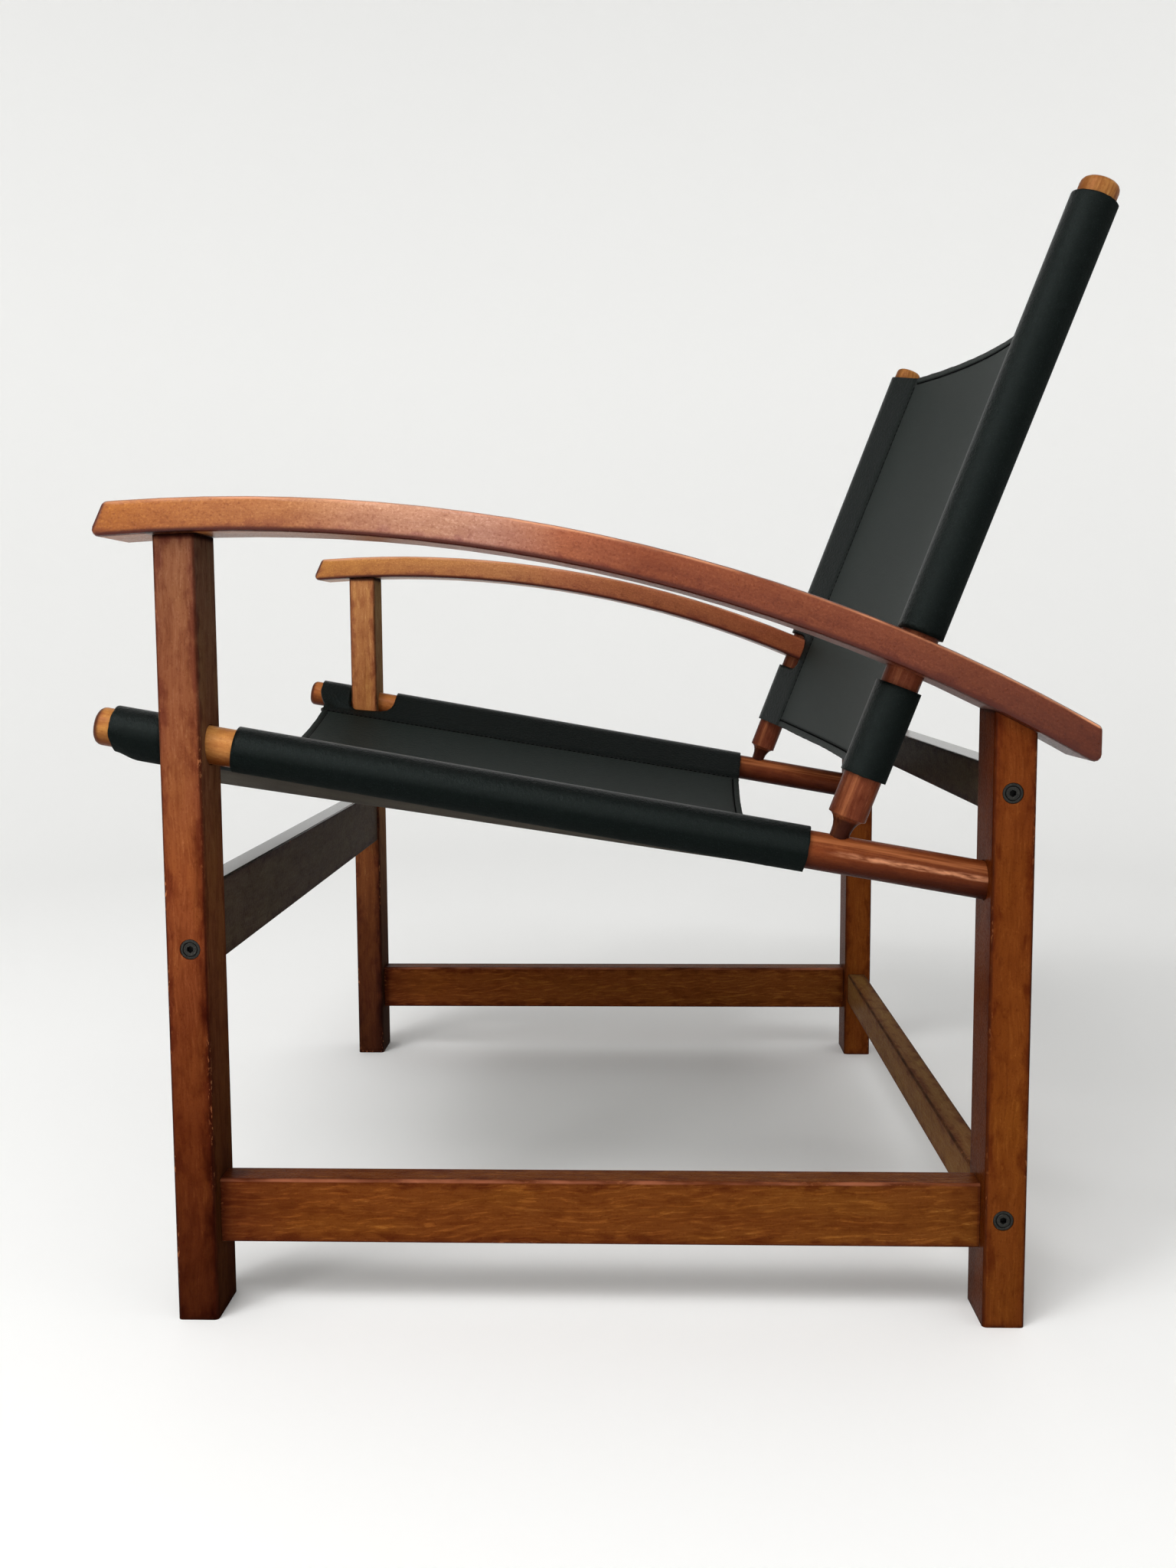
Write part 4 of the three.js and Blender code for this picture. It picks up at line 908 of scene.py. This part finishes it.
def even_steps(start, end, step):
    """Places from start to just before end, about a step apart."""
    count = max(1, round(abs(end - start) / step))
    return [start + (end - start) * i / count for i in range(count)]


def between(start, end, past=False):
    """Columns on a straight side of a sleeve, from its seam, with one where the notch begins."""
    split_share = (NOTCH_INNER - start[0]) / (end[0] - start[0])
    shares = even_steps(0, split_share, split_share / SEAM_STEPS)
    shares += even_steps(split_share, 1, (1 - split_share) / SIDE_STEPS)
    shares += [1.0] if past else []
    return [tuple(a + (b - a) * share for a, b in zip(start, end)) for share in shares]


SHEET_COLUMNS = even_steps(0, SEAM - SEAM_REACH, SHEET_STEP)
SHEET_COLUMNS += even_steps(SEAM - SEAM_REACH, SEAM, FINE_STEP)
FLAP_COLUMNS = even_steps(SEAM, SEAM - FLAP, FLAP_STEP)[1:] + [SEAM - FLAP]
SEAM_COLUMN = len(SHEET_COLUMNS)
NOTCH_COLUMN = SEAM_COLUMN + SEAM_STEPS
NOTCH_END = NOTCH_COLUMN + SIDE_STEPS + WRAP_STEPS + SIDE_STEPS
HALF_COLUMNS = NOTCH_END + SEAM_STEPS + 1 + len(FLAP_COLUMNS)


class Sling:
    """The leather between two rods: where each point of the flat cut goes."""

    def __init__(self, origin, pitch_turn, span, sags, fullness, notch, scoop, lean, seed):
        self.plane = Matrix.Translation(origin) @ Matrix.Rotation(pitch_turn, 4, "X")
        self.span, self.sags, self.fullness = span, sags, fullness
        self.notch, self.scoop, self.lean, self.seed = notch, scoop, lean, seed

    def scooped(self, x, v):
        """A place along the rods, moved back where the front edge is cut back between the sleeves."""
        share = min(max((abs(x) - SCOOP_INNER) / (SCOOP_OUTER - SCOOP_INNER), 0.0), 1.0)
        depth = self.scoop * (1 + math.cos(math.pi * share)) / 2
        return v + depth * (1 - smooth_step((v - self.span[0]) / SCOOP_EASE))

    def front_tab(self, x, v, height):
        """The sleeve ahead of the leg: cut to the leg's upright face, and fuller and rounder below."""
        low, high = self.notch
        outward = smooth_step((abs(x) - SEAM) / (NOTCH_INNER - SEAM))
        ahead = 1 - max(v - low, 0.0) / (high - low)
        if not self.lean or ahead < 0:
            return v, height
        fit = self.lean * (SLEEVE_RADIUS - height) * smooth_step(1 - (low - v) / NOTCH_EASE) * ahead
        below = smooth_step(TAB_START - height / SLEEVE_RADIUS) * outward * ahead
        from_end = v - self.span[0]
        corner = TAB_CORNER * below**2 * math.exp(-from_end / TAB_REACH)
        drop = TAB_DROP * below * smooth_step(from_end / TAB_EASE)
        return v + fit * outward + corner, height - drop

    def notched(self, x, v):
        """How far along the rods a point moves so that the notch's corners are round."""
        low, high = self.notch
        corners = []
        for radius in NOTCH_ROUNDS:
            inset = max(radius - (abs(x) - NOTCH_INNER), 0.0)
            if abs(x) >= NOTCH_INNER:
                corners.append(radius - math.sqrt(radius**2 - inset**2))
            else:
                corners.append(radius * (1 - smooth_step((NOTCH_INNER - abs(x)) / NOTCH_EASE)))
        if v < low:
            return corners[0] * (1 - smooth_step((low - v) / NOTCH_EASE))
        if v > high:
            return -corners[1] * (1 - smooth_step((v - high) / NOTCH_EASE))
        share = (v - low) / (high - low)
        return corners[0] * (1 - share) - corners[1] * share

    def ragged(self, column, v):
        """How far a cut end strays from its line."""
        far_end = v > RAGGED_MIDDLE
        spots = (Vector((column * pitch, far_end, self.seed)) for pitch in RAGGED_PITCHES)
        return sum(noise.noise(spot) * RAGGED for spot in spots)

    def sheet(self, x, v, offset):
        """A point of the hanging sheet, so far above its underside."""
        share = (v - self.span[0]) / (self.span[1] - self.span[0])
        sag = self.sags[0] + (self.sags[1] - self.sags[0]) * share
        reach = abs(x) / ROD_SPREAD
        slope = math.copysign(sag * self.fullness * reach ** (self.fullness - 1) / ROD_SPREAD, x)
        step = offset / math.hypot(slope, 1)
        slack = SLACK_HEIGHT * smooth_step((SEAM - abs(x)) / SLACK_REACH)
        wave = noise.noise(Vector((x * SLACK_WAVES[0], v * SLACK_WAVES[1], self.seed))) * slack
        return x - slope * step, -sag * (1 - reach**self.fullness) + step + wave

    def on_sheet(self, x, v, offset):
        """The same point in the chair's frame."""
        x, height = self.sheet(x, v, offset)
        return self.plane @ Vector((x, v, height))

    def half_section(self, v):
        """Columns of the grain side from the chair's middle to the flap's end, at one place."""
        columns = [self.sheet(x, v, LEATHER) for x in SHEET_COLUMNS]
        top, under = self.sheet(SEAM, v, LEATHER), self.sheet(SEAM, v, -LEATHER)
        upper, lower = self.touch(top, 1), self.touch(under, -1)
        columns += between(top, self.round_rod(upper))
        columns += [self.round_rod(upper + (lower - upper) * i / WRAP_STEPS) for i in range(WRAP_STEPS)]
        columns += reversed(between(under, self.round_rod(lower), past=True))
        columns += [self.sheet(x, v, -LEATHER) for x in FLAP_COLUMNS]
        return columns

    def flat_size(self):
        """Width and length of the flat leather before it is turned round the rods."""
        half = self.half_section(sum(self.span) / 2)
        width = 2 * sum(math.dist(a, b) for a, b in zip(half, half[1:]))
        return width, self.span[1] - self.span[0]

    @staticmethod
    def touch(point, way):
        """The angle at which leather from a seam meets the round of its sleeve."""
        x, height = point[0] - ROD_SPREAD, point[1]
        facing = math.atan2(height, x) % (2 * math.pi)
        spread = math.acos(SLEEVE_RADIUS / math.hypot(x, height))
        return facing - spread if way > 0 else facing + spread - 2 * math.pi

    @staticmethod
    def round_rod(turn):
        """A point on the round of a sleeve."""
        return ROD_SPREAD + SLEEVE_RADIUS * math.cos(turn), SLEEVE_RADIUS * math.sin(turn)


def hang_leather(name, sling):
    """The sling as a sheet with its grain side out, notched, then given its thickness."""
    low, high = sling.span
    rows = even_steps(low, low + FINE_REACH, FINE_STEP)
    rows += even_steps(low + FINE_REACH, sling.notch[0], ROW_STEP) + even_steps(*sling.notch, ROW_STEP)
    rows += even_steps(sling.notch[1], high - FINE_REACH, ROW_STEP)
    rows += even_steps(high - FINE_REACH, high, FINE_STEP) + [high]
    columns = 2 * HALF_COLUMNS - 1
    bm = bmesh.new()
    bmesh.ops.create_grid(bm, x_segments=columns - 1, y_segments=len(rows) - 1, size=1)
    seam_layer = bm.verts.layers.float.new("seam_distance")
    sleeve_layer = bm.verts.layers.float.new("sleeve")
    upward_layer = bm.verts.layers.float.new("upward")
    sections = [sling.half_section(v) for v in rows]
    cells = {}
    for vert in bm.verts:
        column = round((vert.co.x + 1) / 2 * (columns - 1)) - (HALF_COLUMNS - 1)
        row = round((vert.co.y + 1) / 2 * (len(rows) - 1))
        cells[vert] = column, row
        v = rows[row]
        x, height = sections[row][abs(column)]
        past_seam = abs(column) - SEAM_COLUMN
        from_seam = abs(SEAM - abs(x)) if past_seam < SEAM_STEPS else 1.0
        from_end = min(v - low, high - v)
        from_hem = abs(from_end - HEM) if past_seam < 0 else 1.0
        to_stitch = min(from_seam, from_hem)
        if past_seam <= SEAM_STEPS:
            height -= GROOVE_DEPTH * math.exp(-((to_stitch / GROOVE_WIDTH) ** 2))
        fitted, height = sling.front_tab(x, v, height)
        v = sling.scooped(x, fitted + sling.notched(x, v))
        v += sling.ragged(column, v) * math.exp(-from_end / RAGGED_REACH)
        vert[seam_layer] = to_stitch
        vert[sleeve_layer] = smooth_step(past_seam + 1.0)
        vert.co = sling.plane @ Vector((math.copysign(x, column), v, height))
    bm.normal_update()
    for vert in bm.verts:
        vert[upward_layer] = vert.normal.z
    first, last = rows.index(sling.notch[0]), rows.index(sling.notch[1])
    cut = []
    for face in bm.faces:
        spots = [cells[vert] for vert in face.verts]
        if all(NOTCH_COLUMN <= abs(c) <= NOTCH_END and first <= r <= last for c, r in spots):
            cut.append(face)
    bmesh.ops.delete(bm, geom=cut, context="FACES")
    piece = new_piece(name, bm, black_leather, flesh_side, cut_edge)
    wall = piece.modifiers.new("leather", "SOLIDIFY")
    wall.thickness = LEATHER
    wall.offset = -1
    wall.material_offset = 1
    wall.material_offset_rim = 2
    return piece


def sew(name, sling):
    """Rows of lock stitches in waxed channels along both seams and both ends, on both sides."""
    low, high = sling.span
    bm = bmesh.new()
    bmesh.ops.create_uvsphere(bm, u_segments=THREAD_SEGMENTS, v_segments=THREAD_RINGS, radius=1)
    loop = bpy.data.meshes.new("loop_of_thread")
    bm.to_mesh(loop)
    bm.clear()
    upper = LEATHER - GROOVE_DEPTH / 2
    lines = []
    for x in (-SEAM, SEAM):
        line = [(x, v) for v in even_steps(sling.scooped(x, low) + HEM, high - HEM, STITCH_PITCH)]
        lines += [(line, (0, 1), upper, 1), (line, (0, 1), -LEATHER, -1)]
    for v in (low + sling.scoop + HEM, high - HEM):
        line = [(x, v) for x in even_steps(-SEAM + HEM, SEAM - HEM, STITCH_PITCH)]
        lines += [(line, (1, 0), upper, 1), (line, (1, 0), 0, -1)]
    size = Matrix.Diagonal((STITCH_LENGTH / 2, THREAD_RADIUS, THREAD_RADIUS, 1))
    for line, way, offset, facing in lines:
        steps = len(line) - 1
        # Each row lies on a matte dark strip, the waxed channel, which also darkens the line as painted
        # shade.
        strip = bmesh.ops.create_grid(bm, x_segments=steps, y_segments=1, size=1)["verts"]
        for vert in strip:
            x, v = line[round((vert.co.x + 1) / 2 * steps)]
            aside = math.copysign(CHANNEL, vert.co.y) * facing * (way[0] - way[1])
            vert.co = sling.on_sheet(x + aside * way[1], v + aside * way[0], offset)
        for x, v in line:
            across, along = way[0] * STITCH_LENGTH / 2, way[1] * STITCH_LENGTH / 2
            start = sling.on_sheet(x - across, v - along, offset)
            end = sling.on_sheet(x + across, v + along, offset)
            turn = (end - start).normalized().to_track_quat("X", "Z").to_matrix().to_4x4()
            stitch = loop.copy()
            stitch.transform(Matrix.Translation((start + end) / 2) @ turn @ size)
            bm.from_mesh(stitch)
            bpy.data.meshes.remove(stitch)
    bpy.data.meshes.remove(loop)
    return new_piece(name, bm, black_thread)


black_leather, tree, shader = new_material("black_leather", gloss=LEATHER_GLOSS, sheen=LEATHER_SHEEN)
place = own_place(tree)
sleeve = painted(tree, "sleeve")
hide = mixed(tree, sleeve, tone(*SHEET_TONE), tone(*SLEEVE_TONE))
# Pale points on the sleeves are painted glints of the grain's sparkle.
hide = mixed(tree, times(tree, patches(tree, place, *GLINT_POINTS), sleeve), hide, tone(*GLINT_TONE))
# The stitch grooves are darkened as painted shade.
groove_shade = ramped(tree, painted(tree, "seam_distance"), *GROOVE_SHADE_REACH)
tree.links.new(mixed(tree, groove_shade, hide, tone(*GROOVE_SHADE_TONE)), shader.inputs["Base Color"])
worn = ranged(tree, sleeve, start=SHEET_ROUGHNESS, end=SLEEVE_ROUGHNESS)
polish = ranged(tree, painted(tree, "upward"), DRY_FACING, WORN_FACING, DRY_ROUGHNESS, worn)
tree.links.new(polish, shader.inputs["Roughness"])
pebbles = add_node(tree, "ShaderNodeTexVoronoi", {"Vector": place, "Scale": PEBBLES}, feature="SMOOTH_F1")
pores = patches(tree, place, *PORES)
grain = sums(tree, "MULTIPLY_ADD", pores, PORE_HEIGHT, pebbles.outputs["Distance"])
emboss(tree, shader, grain, GRAIN_RELIEF, GRAIN_DEPTH)

flesh_side, tree, shader = new_material("flesh_side", roughness=FLESH_ROUGHNESS, gloss=FLESH_GLOSS)
place = own_place(tree)
nap = patches(tree, place, *NAP)
suede = mixed(tree, patches(tree, place, *CLOUDS), tone(*FLESH_LIGHT), tone(*FLESH_DARK))
suede = mixed(tree, times(tree, nap, NAP_AMOUNT), suede, tone(*CUT_TONE))
tree.links.new(suede, shader.inputs["Base Color"])
emboss(tree, shader, nap, NAP_RELIEF, NAP_DEPTH)

cut_edge, tree, shader = new_material("cut_edge", roughness=CUT_ROUGHNESS)
fibres = patches(tree, own_place(tree), *FIBRES)
tree.links.new(mixed(tree, fibres, tone(*SLEEVE_TONE), tone(*CUT_TONE)), shader.inputs["Base Color"])

black_thread, tree, shader = new_material("black_thread", roughness=THREAD_ROUGHNESS, gloss=THREAD_GLOSS)
plies = patches(tree, own_place(tree), *PLIES)
tree.links.new(mixed(tree, plies, tone(*THREAD_DARK), tone(*THREAD_LIGHT)), shader.inputs["Base Color"])
emboss(tree, shader, plies, PLY_RELIEF, PLY_DEPTH)


def fit_sling(name, sling):
    """A sling's leather and stitching in place of the CAD one, stretched between its two rods."""
    leather = hang_leather(f"{name}_leather", sling)
    stitching = sew(f"{name}_stitching", sling)
    for piece in (leather, stitching):
        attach(piece, "frame")
    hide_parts(f"{name}_sling")
    sling.flat_size()


seat = Sling(
    SEAT_ORIGIN, -SEAT_PITCH, SEAT_SPAN, SEAT_SAGS, SEAT_FULLNESS, SEAT_NOTCH,
    scoop=SCOOP_DEPTH, lean=math.tan(SEAT_PITCH), seed=SEAT_SEED,
)
fit_sling("seat", seat)


# Back sling: the same leather, sewn to closed sleeves that slide over the back rods, and notched
# where the rods pass through the armrests.
BACK_SPAN, BACK_SAGS, BACK_FULLNESS, BACK_SEED = (0.0535, 0.4347), (0.026, 0.041), 1.7, 8.2
BACK_NOTCH = (0.11488, 0.1509)
BACK_TURN = math.radians(90) - BACK_RECLINE
back = Sling(
    BACK_ORIGIN, BACK_TURN, BACK_SPAN, BACK_SAGS, BACK_FULLNESS, BACK_NOTCH,
    scoop=0.0, lean=0.0, seed=BACK_SEED,
)
fit_sling("back", back)


low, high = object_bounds()
